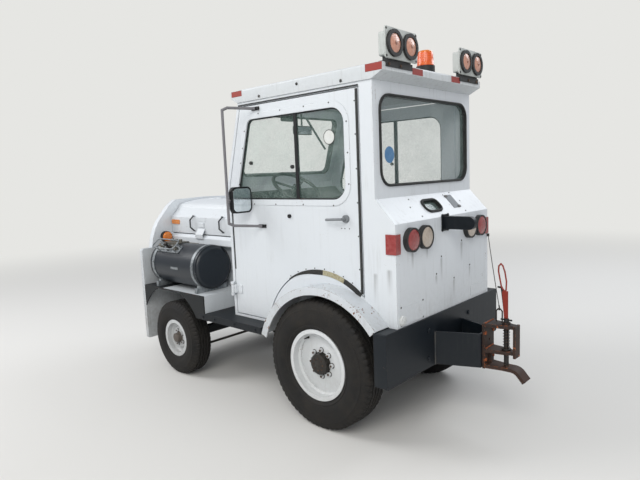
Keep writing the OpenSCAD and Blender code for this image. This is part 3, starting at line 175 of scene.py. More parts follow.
def worn(name, coat, dirt, under, gloss, dirt_share, chip_share, low_z, stain="#A58B5C", stain_share=0.0,
         drips=(), chip_size=150.0, zones=(), mirror=0.5):
    """Enamel left outdoors: rain drags dirt down it in streaks, mud collects below low_z, stones chip it to
    the metal, most on the edges, and rust water stains it. drips are runs of grime under a screw: axis,
    place, top, foot and width. zones have another colour within limits on x, |y| or z."""
    made, tree, surface, place = finish_of(name)
    axes = add(tree, "SeparateXYZ", {0: place}).node.outputs
    # streaks are 15 to 30 mm wide and some 400 mm long
    streak = noise(tree, add(tree, "Mapping", {"Vector": place, "Scale": (45, 45, 2.4)}), 1.0, 5, 0.62)
    cloud = noise(tree, place, 5.0, 6, 0.6)
    grime = calc(tree, "MULTIPLY", ramp(tree, streak, 0.52, 0.78, 0.0, 0.75), ramp(tree, cloud, 0.42, 0.75))
    low = ramp(tree, axes[2], low_z, low_z - 0.45, 0.0, 0.8)
    dirty = calc(tree, "ADD", grime, calc(tree, "MULTIPLY", low, noise(tree, place, 38.0, 4, 0.7)))
    sheet = coat
    for zone_colour, tests in zones:
        inside = 1.0
        for across, least, most in tests:
            value = calc(tree, "ABSOLUTE", axes[1]) if across == 1 else axes[across]
            within = calc(tree, "COMPARE", value, (least + most) / 2, (most - least) / 2)
            inside = calc(tree, "MULTIPLY", inside, within)
        sheet = blend(tree, inside, sheet, zone_colour)
    colour = blend(tree, calc(tree, "MULTIPLY", dirty, dirt_share, clamp=True), sheet, dirt)
    if stain_share:
        # rust water runs from seams: broad yellow-brown patches, 60 to 150 mm long
        water = noise(tree, add(tree, "Mapping", {"Vector": place, "Scale": (22, 22, 7)}), 1.0, 6, 0.68)
        colour = blend(tree, ramp(tree, water, 0.70 - stain_share * 0.1, 0.82, 0.0, stain_share), colour, stain)
    for across, centre, top, foot, width in drips:
        wander = ramp(tree, streak, 0.3, 0.7, -0.008, 0.008)
        aside = calc(tree, "ADD", calc(tree, "SUBTRACT", axes[across], centre), wander)
        narrow = ramp(tree, calc(tree, "ABSOLUTE", aside), 0.0, width * 1.7, 0.5, 0.0)
        tall = calc(tree, "MULTIPLY", ramp(tree, axes[2], top, top - 0.012), ramp(tree, axes[2], foot, top - 0.02))
        colour = blend(tree, calc(tree, "MULTIPLY", tall, narrow), colour, "#5A5750")
    # chips are 3 to 8 mm across, in loose groups, and thickest where two faces meet
    many = calc(tree, "MULTIPLY", noise(tree, place, chip_size, 2, 0.5), noise(tree, place, 9.0, 3, 0.6))
    rounded = add(tree, "Bevel", {"Radius": 0.004}, samples=4)
    flat = add(tree, "NewGeometry", {}, "Normal")
    turn = add(tree, "VectorMath", {0: rounded, 1: flat}, "Value", operation="DOT_PRODUCT")
    bare = calc(tree, "ADD", many, ramp(tree, turn, 0.985, 0.86, 0.0, 0.13))
    chip = ramp(tree, bare, 0.47 - chip_share, 0.485 - chip_share)
    skin = calc(tree, "SUBTRACT", cloud, chip)
    relief = add(tree, "Bump", {"Height": skin, "Strength": 0.22, "Distance": 0.0012, "Normal": rounded})
    feed(tree, surface, {"Base Color": blend(tree, chip, colour, under), "Specular IOR Level": mirror,
                         "Roughness": ramp(tree, dirty, 0.0, 1.0, gloss, 0.85), "Normal": relief})
    return made


def plain(name, colour, second, rough, grain, size, metal=0.0, gloss_coat=0.0):
    """A moulded, cast or machined surface: two near tones in a fine grain, and the same grain as relief."""
    made, tree, surface, place = finish_of(name)
    speck = noise(tree, place, size, 4, 0.6)
    mixed = calc(tree, "ADD", speck, noise(tree, place, size / 8, 5, 0.65))
    rounded = add(tree, "Bevel", {"Radius": 0.002}, samples=4)
    relief = add(tree, "Bump", {"Height": speck, "Strength": grain, "Distance": 0.001, "Normal": rounded})
    feed(tree, surface, {"Base Color": blend(tree, ramp(tree, mixed, 0.8, 1.2), colour, second),
                         "Roughness": ramp(tree, mixed, 0.7, 1.3, rough - 0.1, rough + 0.1),
                         "Metallic": metal, "Coat Weight": gloss_coat, "Normal": relief})
    return made


# blue-black enamel with a dry bloom: the dust reads grey-brown, the chips brown
chassis_black = dress(
    worn("chassis_blue_black", "#10161C", "#403F3B", "#5A4030", 0.46, 0.7, 0.005, 0.62, mirror=0.28),
    "chassis_frame", "cab_floor", "rear_arm", "rear_axle", "front_axle", "grille", "seat_base")
# grease holds black dust, so the knuckles and links are nearly black and half glossy
greasy_steel = dress(plain("greasy_steel", "#2B2927", "#4A443D", 0.5, 0.35, 90, metal=0.55),
                     "knuckle_left", "knuckle_right", "tie_rod")
dress(plain("oily_cast_iron", "#3B3D3E", "#57534C", 0.62, 0.5, 70, metal=0.3), "engine_block")


def spot(x, y, z):
    """Millimetres from the rear axle, the middle and the ground, as metres in the tug's frame."""
    return Vector(((x - 467.5) / 1000, y / 1000, z / 1000))


def spots(xs, ys, zs):
    """Every place at one of these x, y and z."""
    return [spot(x, y, z) for x in xs for y in ys for z in zs]


def fastener(radius, height, sides, washer=0.0):
    """A bolt or rivet head that stands on the origin, with its top drawn in and raised."""
    bpy.ops.mesh.primitive_cylinder_add(vertices=sides, radius=radius, depth=height, location=(0, 0, height / 2))
    head = bpy.context.object
    bpy.ops.object.mode_set(mode="EDIT")
    bpy.ops.mesh.select_all(action="DESELECT")
    mesh = bmesh.from_edit_mesh(head.data)
    for face in mesh.faces:
        if face.normal.z > 0.9:
            face.select_set(True)
    mesh.select_flush_mode()
    bmesh.update_edit_mesh(head.data)
    bpy.ops.mesh.inset(thickness=radius * 0.3, depth=height * 0.3)
    if washer:
        bpy.ops.mesh.primitive_cylinder_add(vertices=16, radius=washer, depth=0.0024, location=(0, 0, 0.0012))
    bpy.ops.object.mode_set(mode="OBJECT")
    return head


def fit(piece, name, finish, body="chassis", angle=35):
    """Names a finished mesh, puts its place into the mesh, shades and colours it, and hangs it on its body."""
    only(piece)
    bpy.ops.object.transform_apply(location=True, rotation=True, scale=True)
    bpy.ops.object.shade_smooth_by_angle(angle=radians(angle))
    piece.name = name
    piece.data.materials.clear()
    piece.data.materials.append(finish)
    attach(piece, body)


def facing(where, way):
    """A small piece faces its own way or, without one, out of the tug's nearer side."""
    return Vector((0, copysign(1, where.y), 0) if way is None else way).normalized()


def strewn(name, first, places, slot, finish, way=None, body="chassis"):
    """Copies of one fastener, given by its sizes or as a mesh, joined to one piece."""
    first = fastener(*first) if isinstance(first, tuple) else first
    copies = []
    for where in places:
        one = first.copy()
        one.data = first.data.copy()
        scene.collection.objects.link(one)
        turn = facing(where, way).to_track_quat("Z", "Y").to_matrix()
        one.matrix_world = Matrix.Translation(where) @ turn.to_4x4()
        copies.append(one)
    bpy.data.objects.remove(first)
    only(*copies)
    bpy.ops.object.join()
    fit(copies[0], name, finish, body)


# U-bolt nuts under the leaf springs and bolts along the running boards
strewn("spring_nuts", (0.0115, 0.011, 6), spots((-34, 34), (-350, 350), (432,)),
       "axle_black", greasy_steel, DOWN)
strewn("board_bolts", (0.009, 0.007, 6, 0.014),
       spots((520, 740, 960, 1100), (-676, 676), (541,)), "frame_black", chassis_black)


# Wheels. Pressed steel discs in white enamel, dished and riveted into their rims. Grease from the
# hub seals has blackened the middles, and each nut stands in a dark ring.
dress(worn("wheel_white_enamel", "#D2D5D7", "#8A857A", "#6B4530", 0.46, 0.6, 0.012, 0.62, stain_share=0.5),
      "wheel_rear_left", "wheel_rear_right")
dress(worn("front_wheel_grey", "#C9CCCE", "#77726A", "#6B4530", 0.5, 1.1, 0.012, 0.55, stain_share=0.6),
      "wheel_front_left", "wheel_front_right")
front_hub_grease = plain("front_hub_grease", "#4A4642", "#6B625A", 0.55, 0.6, 90, metal=0.2)
hub_grease = plain("hub_grease", "#191817", "#332E29", 0.42, 0.6, 110, metal=0.2)
stud_steel = plain("rusty_stud", "#3A2F29", "#5E4A3C", 0.55, 0.4, 150, metal=0.5)


def drawn(points):
    """An outline drawn as by hand: one vertex, pulled from point to point, left in edit mode."""
    bpy.ops.mesh.primitive_plane_add(size=0.001)
    bpy.ops.object.mode_set(mode="EDIT")
    bpy.ops.mesh.merge(type="CENTER")
    bpy.ops.transform.translate(value=points[0])
    for here, there in zip(points, points[1:]):
        bpy.ops.mesh.extrude_region_move(TRANSFORM_OT_translate={"value": Vector(there) - Vector(here)})
    return bpy.context.object


def all_of_it():
    bpy.ops.mesh.select_all(action="SELECT")


def close_up():
    """Turns all faces of the mesh in edit mode outward, and leaves edit mode."""
    all_of_it()
    bpy.ops.mesh.normals_make_consistent(inside=False)
    bpy.ops.object.mode_set(mode="OBJECT")


def swept_round(steps, axis):
    """Takes the outline in edit mode once round an axis through the origin."""
    all_of_it()
    bpy.ops.mesh.spin(steps=steps, angle=tau, center=(0, 0, 0), axis=axis)
    all_of_it()
    bpy.ops.mesh.remove_doubles(threshold=0.00002)


def spun(profile, centre, steps, way=(0, 1, 0)):
    """A turned piece: a profile in (radius, y) goes once round the Y axis, which then lies along way."""
    piece = drawn([Vector((0, y, r)) for r, y in profile])
    swept_round(steps, (0, 1, 0))
    close_up()
    turn = Vector((0, 1, 0)).rotation_difference(Vector(way)).to_matrix().to_4x4()
    piece.matrix_world = Matrix.Translation(centre) @ turn
    return piece


def both_sides(piece):
    """A turned piece for the left side, and its mirrored copy for the right one."""
    other = piece.copy()
    other.data = piece.data.copy()
    scene.collection.objects.link(other)
    other.data.transform(Matrix.Scale(-1, 4, (0, 1, 0)))
    other.data.flip_normals()
    other.location = piece.location * Vector((1, -1, 1))
    return (piece, "left", 1), (other, "right", -1)


def round_hub(hub, count, radius, y):
    """Places round a hub, y metres from the tug's middle."""
    turns = [tau * k / count for k in range(count)]
    return [hub + Vector((radius * cos(a), y, -radius * sin(a))) for a in turns]


rear_hub, front_hub = spot(0, 0, 400), spot(1540, 0, 294)
rear_cap = [(0, 0.6372), (0.018, 0.6370), (0.021, 0.6350), (0.047, 0.6338), (0.0580, 0.6322), (0.0632, 0.6300),
            (0.0632, 0.6215), (0.0632, 0.5985), (0.0705, 0.5958), (0.0705, 0.5953), (0, 0.5953)]
front_cap = [(0, 0.6466), (0.022, 0.6462), (0.0345, 0.6425), (0.0372, 0.6380), (0.0372, 0.6100), (0.0445, 0.6064),
             (0.0445, 0.6062), (0, 0.6062)]
# a hub cap, then the wheel nuts: how many, their circle, their dark seats and the stud ends in them
for end, hub, cap, steps, grease, count, circle, seat, seat_y, stud, stud_y in (
        ("rear", rear_hub, rear_cap, 48, hub_grease, 8, 0.08255,
         (0.0175, 0.0012, 20), 0.5950, (0.0075, 0.007, 12), 0.6098),
        ("front", front_hub, front_cap, 40, front_hub_grease, 5, 0.057,
         (0.0165, 0.0012, 18), 0.6060, (0.006, 0.006, 12), 0.6208)):
    for piece, side, s in both_sides(spun(cap, hub, steps)):
        body = f"wheel_{end}_{side}"
        fit(piece, f"{end}_hub_cap_{side}", grease, body)
        strewn(f"{end}_nut_seats_{side}", seat, round_hub(hub, count, circle, s * seat_y),
               "axle_black", hub_grease, body=body)
        strewn(f"{end}_studs_{side}", stud, round_hub(hub, count, circle, s * stud_y),
               "axle_black", stud_steel, body=body)
# the rear valves: rubber-covered stems that stand in the rims' wells
stem = [(0, 0.040), (0.0028, 0.040), (0.0034, 0.037), (0.0034, 0.029), (0.0046, 0.027), (0.0052, 0.010),
        (0.0085, 0.0), (0, 0)]
for piece, side, s in both_sides(spun(stem, rear_hub + Vector((0.118, 0.582, 0.138)), 12)):
    fit(piece, "valve_" + side, hub_grease, "wheel_rear_" + side)
    strewn("rear_cap_screws_" + side, (0.006, 0.005, 6), round_hub(rear_hub, 8, 0.038, s * 0.6332),
           "axle_black", stud_steel, body="wheel_rear_" + side)


# Tyres. Black rubber moulded on a cord carcass: plain ribbed sidewalls, a rib tread with shoulder
# notches and ribs that run in a zigzag. Carbon-black rubber goes grey-brown as dust works into it.
rubber, tree, surface, place = finish_of("dusty_tyre_rubber")
fine = noise(tree, place, 160.0, 4, 0.7)
dust = ramp(tree, calc(tree, "MULTIPLY", fine, noise(tree, place, 7.0, 6, 0.65)), 0.18, 0.42, 0.05, 0.75)
feed(tree, surface, {"Base Color": blend(tree, dust, "#111112", "#37332E"), "Specular IOR Level": 0.3,
                     "Roughness": ramp(tree, dust, 0.0, 0.8, 0.6, 0.92),
                     "Normal": add(tree, "Bump", {"Height": fine, "Strength": 0.35, "Distance": 0.001})})
# half a tyre's section from the bead to the tread's middle: millimetres from the axle and from the middle
rear_wall = [
    (203.6, 72), (212, 74.4), (222.5, 74.6), (226, 79), (232, 84), (240, 89.5), (243, 93), (247, 93.4), (249, 92),
    (262, 97.5), (276, 100.8), (292, 102.4), (308, 102.2), (325, 100.4), (341, 97.4), (344, 98.2), (349, 97.2),
    (351, 94.9), (361, 92), (372, 88.4), (382, 84.4), (390, 80), (395.5, 75), (398.5, 69), (399.4, 60), (399.7, 47),
    (391, 45), (391, 39), (399.8, 37), (399.9, 18), (391, 16), (391, 9), (400, 7)]
front_wall = [
    (127.3, 61), (134, 62.5), (141, 62.6), (144, 66), (152, 72), (158, 77), (161, 78), (164, 77), (176, 83),
    (192, 86.5), (208, 87.8), (224, 87), (240, 83.5), (243, 84.2), (247, 83), (249, 80.5), (262, 75), (274, 69),
    (282, 64.5), (288, 60), (292, 54), (293.4, 46), (285.5, 44), (285.5, 37), (293.8, 35), (293.9, 18), (286, 16),
    (286, 9), (294, 7)]
for end, wall, middle_y, hub, steps, wander in (("rear", rear_wall, 565.5, rear_hub, 256, 2.2),
                                                ("front", front_wall, 572.0, front_hub, 224, 2.6)):
    loop = wall + [(r, -y) for r, y in reversed(wall)] + [wall[0]]
    tyre = spun([(r / 1000, y / 1000) for r, y in loop], (0, 0, 0), steps)
    crown = wall[-1][0] / 1000
    for vertex in tyre.data.vertices:
        x, y, z = vertex.co
        reach = hypot(x, z)
        beat = round(atan2(z, x) / tau % 1.0 * steps) % 8
        if reach > crown - 0.012 and abs(y) < 0.050:
            # the ribs run in a zigzag, and stay as wide as they are
            vertex.co.y += (wander if beat in (0, 1, 6, 7) else -wander) / 1000
        elif 0.054 < abs(y) < 0.088 and reach > crown - 0.024 and beat % 4 == 0:
            # shoulder notches, one V every fourth step
            pull = 1 - 0.007 / reach
            vertex.co.x *= pull
            vertex.co.z *= pull
    tyre.location = hub + Vector((0, middle_y / 1000, 0))
    for piece, side, s in both_sides(tyre):
        fit(piece, f"{end}_tread_tyre_{side}", rubber, f"wheel_{end}_{side}", angle=28)
        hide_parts(f"tyre_{end}_{side}")


# Rear bumper and bracket box. A slab of thick plate across the tail, with an open welded box behind
# it. Carts knock against both, so the blue-black paint is scraped grey along the edges.
bumper_black = dress(
    worn("bumper_blue_black", "#10171E", "#3E3F3D", "#6A5C50", 0.44, 0.6, 0.012, 0.60, mirror=0.3),
    "rear_bumper")
weld_grey = plain("painted_weld", "#20272F", "#4B4843", 0.5, 0.3, 120)


def weld(name, here, there, radius, slot, finish):
    """A weld bead: overlapping drops of steel along a seam."""
    bpy.ops.mesh.primitive_uv_sphere_add(segments=8, ring_count=6, radius=radius)
    count = max(2, int((there - here).length / (radius * 0.9)))
    drops = [here.lerp(there, k / count) + Vector((0, 0, radius * 0.12 * sin(k * 2.4))) for k in range(count)]
    strewn(name, bpy.context.object, drops, slot, finish, there - here)


for side, s in SIDES:
    weld("box_seam_" + side, spot(-543, s * 179, 388), spot(-543, s * 179, 586), 0.0055, "frame_black", weld_grey)
strewn("slab_bolts", (0.015, 0.012, 6, 0.021),
       spots((-541.3,), (-250, 250), (440, 610)), "frame_black", bumper_black, BACK)


# Tow hitch. Three flame-cut plates on a bolted flange, with a lip that leads the drawbar in. The
# paint has long gone: the flange is orange with fresh rust, the plates brown-black and rubbed.
dress(worn("hitch_brown_black", "#1B1817", "#5C3722", "#A2572A", 0.62, 0.9, 0.06, 0.75, stain="#9A5129",
           stain_share=0.65, chip_size=60.0), "hitch_body")
fresh_rust = plain("fresh_rust", "#A4562B", "#6E3A22", 0.85, 0.7, 140)
for name, y, z in (("top", 55, 650), ("mid", 52, 497)):
    weld("hitch_seam_" + name, spot(-802, -y, z), spot(-802, y, z), 0.004, "hitch_steel", fresh_rust)
strewn("flange_bolts", (0.011, 0.009, 6, 0.016),
       spots((-801,), (-50, 50), (430, 590)), "hitch_steel", fresh_rust, BACK)


# Tow pin. A turned steel pin with a collar, sprung down by a coil on the top plate. A flat red
# handle with a loop lifts it, and a loop beside it holds the end of the cable from the cab.
dress(worn("pin_black_grease", "#1B1A1A", "#4A3A30", "#6A625A", 0.42, 0.5, 0.03, 0.6), "tow_pin")
dress(plain("spring_steel", "#3A3835", "#6B5240", 0.42, 0.2, 200, metal=0.75), "pin_spring")
dress(worn("handle_dark_red", "#8A2B1C", "#4E241B", "#3A2A26", 0.48, 0.9, 0.03, 0.5, chip_size=220.0),
      "pin_handle")
dress(plain("cable_black", "#141414", "#3A3733", 0.5, 0.5, 400), "release_cable")


# Cab shell. Folded steel sheet on a tube frame, in white enamel that many winters have dulled: grey
# streaks run from each screw of the rear panel, and rust water stands along the lower seams.
dress(worn("cab_white_enamel", "#D5DADF", "#8F8E88", "#6B4A36", 0.36, 0.55, 0.0, 0.95, stain_share=0.25),
      "cab_front", "nose_cowl", "engine_sides")
rear_white = dress(worn(
    "rear_panel_enamel", "#D3D8DD", "#85847E", "#6B4A36", 0.38, 0.7, 0.012, 1.0, stain_share=0.35,
    drips=((1, 0.073, 1.022, 0.874, 0.010), (1, -0.182, 1.089, 0.951, 0.012), (1, -0.290, 0.916, 0.829, 0.010),
           (1, -0.080, 0.865, 0.726, 0.010), (1, 0.133, 0.925, 0.86, 0.008), (1, 0.545, 0.975, 0.880, 0.014),
           (1, 0.39, 1.10, 0.99, 0.010), (1, 0.235, 1.105, 1.03, 0.008))), "cab_rear")
dress(worn("cab_side_enamel", "#D5DADF", "#8F8E88", "#6B4A36", 0.36, 0.5, 0.006, 0.95, stain_share=0.3,
           drips=((0, -0.857, 0.991, 0.807, 0.010), (0, -0.955, 1.02, 0.86, 0.012))), "cab_sides")


# Mudguards. A rolled sheet with a folded lip, welded to the cab's sides. The lip is knocked, so the
# white is chipped to rust. Over them hang the doors' rubber flaps, riveted along the arched edge.
dress(worn("mudguard_enamel", "#CFD5DB", "#8C8880", "#6B4530", 0.42, 0.8, 0.095, 1.02, stain="#A98F62",
           stain_share=0.6, chip_size=75.0), "rear_fenders")
flap_black = plain("flap_rubber", "#161718", "#34332F", 0.72, 0.35, 180)
flap_faded = plain("flap_faded_rubber", "#B3AD92", "#8C8468", 0.75, 0.35, 90)
rivet_look = "fittings_black", plain("dark_rivet", "#25272A", "#4E4A45", 0.5, 0.2, 200, metal=0.4)
arch_x, arch_z, arch_radius, flap_depth = 20, 468, 500, 28
arch_rivets = ((269, 890), (206, 926), (140, 954), (66, 965), (-12, 972), (-86, 963), (-157, 942), (-227, 917),
               (-287, 878))


def on_arch(turn, radius):
    return arch_x + radius * cos(turn), arch_z + radius * sin(turn)


for side, s in SIDES:
    for part, first, last, steps, finish in (
            ("front", 57, 92, 14, flap_black), ("middle", 92.3, 112, 8, flap_faded),
            ("rear", 112.3, 129, 8, flap_black)):
        # drawn flat, from a low foot at the front to its full depth, then given its 2 mm
        angles = [first + (last - first) * k / steps for k in range(steps + 1)]
        outer = [on_arch(radians(a), arch_radius + 3) for a in angles]
        depth = [flap_depth * min(1.0, max(0.12, (a - 55) / 30)) for a in angles]
        inner = [on_arch(radians(a), arch_radius - d) for a, d in zip(angles, depth)]
        piece = drawn([spot(x, s * 553.4, z) for x, z in outer + inner[::-1]])
        all_of_it()
        bpy.ops.mesh.edge_face_add()
        bpy.ops.mesh.extrude_region_move(TRANSFORM_OT_translate={"value": (0, s * 0.0022, 0)})
        close_up()
        fit(piece, f"arch_flap_{part}_{side}", finish, "door_" + side)
    over_flap = [on_arch(atan2(z - arch_z, x - arch_x), arch_radius + 11) for x, z in arch_rivets]
    strewn("arch_rivets_" + side, (0.0042, 0.0022, 10), [spot(x, s * 553, z) for x, z in over_flap],
           *rivet_look, body="door_" + side)


# Roof. A pressed tray with a folded fascia. Faded red tape marks the ends of its edges, and three
# bolts on each side hold it to the frame.
dress(worn("roof_enamel", "#CDD2D6", "#7F7E78", "#6B4A36", 0.4, 1.0, 0.012, 2.2, stain_share=0.3), "roof")
tape_red = worn("faded_red_tape", "#93332A", "#6B3B36", "#B9A39B", 0.42, 0.7, 0.0, 1.0, chip_size=260.0)


def plate(name, middle, size, slot, finish, way=None, corner=0, body="chassis", up=UP, segments=5):
    """A thin plate or sticker: a plane of its width and height, its corners rounded, then its thickness."""
    bpy.ops.mesh.primitive_plane_add(size=1)
    piece = bpy.context.object
    bpy.ops.object.mode_set(mode="EDIT")
    bpy.ops.transform.resize(value=(size[0], size[1], 1))
    if corner:
        bpy.ops.mesh.bevel(offset=corner, segments=segments, affect="VERTICES")
    all_of_it()
    bpy.ops.mesh.extrude_region_move(TRANSFORM_OT_translate={"value": (0, 0, size[2])})
    close_up()
    out = facing(middle, way)
    across = Vector(up).cross(out).normalized()
    piece.matrix_world = Matrix.Translation(middle) @ Matrix((across, out.cross(across), out)).transposed().to_4x4()
    fit(piece, name, finish, body)


tape_z, tape_t = 2098, 0.0006
for side, s in SIDES:
    plate("fascia_tape_rear_" + side, spot(-423, s * 560.2, tape_z), (0.110, 0.040, tape_t), "lens_red", tape_red)
    plate("fascia_tape_front_" + side, spot(707, s * 560.2, tape_z), (0.104, 0.036, tape_t), "lens_red", tape_red)
plate("tail_tape_left", spot(-478.2, 215, tape_z), (0.110, 0.036, tape_t), "lens_red", tape_red, BACK)
plate("tail_tape_right", spot(-478.2, -229, tape_z), (0.112, 0.036, tape_t), "lens_red", tape_red, BACK)
strewn("roof_studs", (0.009, 0.008, 6, 0.015),
       [spot(x, y, z) for x, z in ((485, 2058), (145, 2088), (-197, 2058)) for y in (560, -560)],
       *rivet_look)


# Roof lamps and beacon. Each rear box is a folded sheet with a broad front plate that two round work
# lamps are screwed into, on a black angle bolted over the fascia. The beacon has a ribbed orange dome.
dress(worn("lamp_box_grey", "#BFC4C2", "#7E807A", "#6B4A36", 0.5, 0.8, 0.006, 2.4, stain_share=0.25),
      "roof_lamp_boxes")
dress(plain("lamp_ring_rubber", "#17181A", "#2E2E2D", 0.55, 0.3, 160), "lamp_bodies")
strewn("box_screws", (0.0062, 0.004, 12),
       spots((-495,), (257, 539, -257, -539), (2147, 2285)),
       *rivet_look, BACK)
strewn("bracket_bolts", (0.009, 0.007, 6, 0.013), spots((-483,), (391, 501, -391, -501), (2110,)),
       "fittings_black", stud_steel, BACK)


def lens_plastic(name, colour, glow, rib_across, rib_size, rough=0.16):
    """Moulded lens plastic: clear gloss outside, fine ribs inside that break the light, a lighter tone in patches."""
    made, tree, surface, place = finish_of(name)
    tone = ramp(tree, noise(tree, place, 60.0, 4, 0.6), 0.35, 0.7, 0.0, 0.55)
    rib = add(tree, "TexWave", {"Vector": place, "Scale": rib_size, "Distortion": 0.0}, 1, bands_direction=rib_across)
    dark = tuple(c * 0.45 for c in linear(colour)[:3]) + (1.0,)
    feed(tree, surface, {
        "Base Color": blend(tree, ramp(tree, rib, 0.0, 0.6, 0.35, 0.0), blend(tree, tone, colour, glow), dark),
        "Roughness": rough, "Coat Weight": 0.6, "Coat Roughness": 0.06,
        "Normal": add(tree, "Bump", {"Height": rib, "Strength": 0.35, "Distance": 0.001})})
    return made


# the ribs are about 4 mm apart
dress(lens_plastic("faded_red_lens", "#8C2A2A", "#A85450", "Y", 80.0), "lenses_red")
dress(lens_plastic("amber_lens", "#E0761A", "#F09A3C", "Y", 50.0), "lenses_amber")
dress(lens_plastic("yellowed_clear_lens", "#AFA294", "#C7BBAE", "Y", 80.0), "lenses_clear")
work_lens = lens_plastic("work_lamp_lens", "#C98A72", "#DDB09A", "Y", 60.0)
bulb_dark = plain("bulb_shade", "#8A5D4C", "#9C6E5C", 0.35, 0.1, 200)
lens_face = [(0, -0.0052), (0.012, -0.0048), (0.026, -0.0030), (0.040, -0.0002), (0.0475, 0.0012), (0.0475, 0.0022),
             (0.0495, 0.0022), (0.0495, 0.0034), (0, 0.0034)]
bulb_shade = [(0, -0.0072), (0.008, -0.0068), (0.0105, -0.0055), (0.0105, -0.0042), (0, -0.0042)]
for side, s in SIDES:
    for y, k in ((322, "inner"), (473, "outer")):
        lamp = spot(-507.2, s * y, 2216)
        fit(spun(lens_face, lamp, 40, AHEAD), f"work_lamp_lens_{side}_{k}", work_lens)
        fit(spun(bulb_shade, lamp, 24, AHEAD), f"bulb_shade_{side}_{k}", bulb_dark)

# beacon dome: a spun dome whose wall is pressed into 36 flutes
dome = drawn([Vector((r, 0, z)) for r, z in (
    (0.0505, 0), (0.0512, 0.003), (0.0512, 0.006), (0.0500, 0.008), (0.0478, 0.045), (0.0455, 0.074), (0.042, 0.084),
    (0.034, 0.0898), (0.020, 0.0925), (0.0, 0.093))])
swept_round(144, UP)
bpy.ops.mesh.select_all(action="DESELECT")
bpy.ops.mesh.select_non_manifold()
bpy.ops.mesh.edge_face_add()
close_up()
for vertex in dome.data.vertices:
    x, y, z = vertex.co
    if 0.007 < z < 0.08:
        flute = 1 - 0.022 * (0.5 - 0.5 * cos(36 * atan2(y, x)))
        vertex.co.x *= flute
        vertex.co.y *= flute
dome.location = spot(-400, 0, 2165.8)
fit(dome, "beacon_dome", lens_plastic("beacon_orange", "#E2560A", "#EC6A14", "Z", 30.0, rough=0.22),
    angle=50)


# Windows. Toughened panes in black rubber profile with a raised bead. The glass is faintly green and
# dull with dried rain; round stickers on it are left blank.
seal_rubber = dress(plain("window_rubber", "#131415", "#2F302F", 0.62, 0.25, 220), "window_rubbers")


def dirty_glass(name, tint, haze, clear, dull):
    """Green-tinged float glass: dust and dried drops make it milky in patches, and it mirrors at a slant."""
    made, tree, surface, place = finish_of(name)
    film = calc(tree, "MULTIPLY", noise(tree, place, 90.0, 3, 0.6), noise(tree, place, 5.0, 7, 0.7))
    amount = ramp(tree, film, 0.18, 0.42)
    slant = calc(tree, "POWER", add(tree, "LayerWeight", {"Blend": 0.5}, "Facing"), 4.0)
    feed(tree, surface, {"Base Color": blend(tree, amount, tint, haze), "Specular IOR Level": 0.9,
                         "Alpha": calc(tree, "ADD", ramp(tree, amount, 0.0, 1.0, clear, dull), slant, clamp=True),
                         "Roughness": ramp(tree, amount, 0.0, 1.0, 0.03, 0.25)})
    return made


dress(dirty_glass("cab_float_glass", "#8FAAA6", "#CBD6D3", 0.06, 0.17), "cab_glass")
dress(dirty_glass("door_float_glass", "#8DB0A6", "#C8DAD2", 0.06, 0.2), "door_glass_left", "door_glass_right")
white, blue = (plain("blank_white_sticker", "#D9DCDB", "#C9CAC6", 0.5, 0.05, 120),
               plain("blank_blue_sticker", "#3E6F9E", "#5B86AC", 0.45, 0.05, 120))
for name, where, width, finish, way, body in (
        ("rear_window_sticker", spot(-392.4, 389, 1641), 0.094, blue, BACK, "chassis"),
        ("door_sticker_rim", spot(-79, 541.3, 1759), 0.086, seal_rubber, None, "door_left"),
        ("door_window_sticker", spot(-79, 541.8, 1759), 0.078, white, None, "door_left")):
    plate(name, where, (width, width, 0.0004), "window_glass", finish, way, width / 2 - 0.0001, body, segments=12)


def bead_round(name, outline, radius, finish):
    """A closed round bead along an outline: a bevelled curve made a mesh."""
    curve = bpy.data.curves.new(name, "CURVE")
    curve.dimensions = "3D"
    line = curve.splines.new("POLY")
    line.points.add(len(outline) - 1)
    for point, where in zip(line.points, outline):
        point.co = (*where, 1)
    line.use_cyclic_u = True
    curve.bevel_depth, curve.bevel_resolution = radius, 2
    bead = bpy.data.objects.new(name, curve)
    scene.collection.objects.link(bead)
    only(bead)
    bpy.ops.object.convert(target="MESH")
    fit(bpy.context.object, name, finish, angle=60)


def rounded_corners(width, height, radius, steps=8):
    """A rectangle's outline with round corners, about the origin."""
    points = []
    for cx, cy, start in ((1, 1, 0), (-1, 1, 90), (-1, -1, 180), (1, -1, 270)):
        for k in range(steps + 1):
            a = radians(start + 90 * k / steps)
            points.append((cx * (width / 2 - radius) + radius * cos(a),
                           cy * (height / 2 - radius) + radius * sin(a)))
    return points


# the seals' locking strips, and what sits on the rear slope, in millimetres from its middle
bead_round("rear_window_bead", [spot(-412.6, y, 1719 + z) for y, z in rounded_corners(984, 498, 86)], 0.0032,
           seal_rubber)
slope = atan2(1399 - 1264, -404 + 532)
up_slope = Vector((cos(slope), 0, sin(slope)))
off_slope = Vector((-sin(slope), 0, cos(slope)))


def on_slope(y, rise, off=0.0):
    return spot(-468, 0, 1331.5) + Vector((0, y / 1000, 0)) + up_slope * (rise / 1000) + off_slope * (off / 1000)


bead_round("slope_window_bead", [on_slope(70 + y, z, 8.8) for y, z in rounded_corners(176, 90, 38)], 0.003,
           seal_rubber)
plate("slope_blank", on_slope(-200, 12), (0.084, 0.108, 0.0016), "fittings_black",
      plain("slope_plate_grey", "#4F565D", "#6A7076", 0.5, 0.2, 90), off_slope, 0.004, up=up_slope)
for k, (y, rise) in enumerate(((-168, 56), (-232, -34))):
    plate(f"slope_stop_{k}", on_slope(y, rise, 1.6), (0.030, 0.016, 0.004), *rivet_look, off_slope,
          0.003, up=up_slope)
strewn("slope_screws", (0.005, 0.0028, 10),
       [on_slope(*p) for p in ((295, 8), (-248, 84), (-295, 8), (-264, -76), (-152, 70), (250, 66), (250, -66))],
       *rivet_look, off_slope)


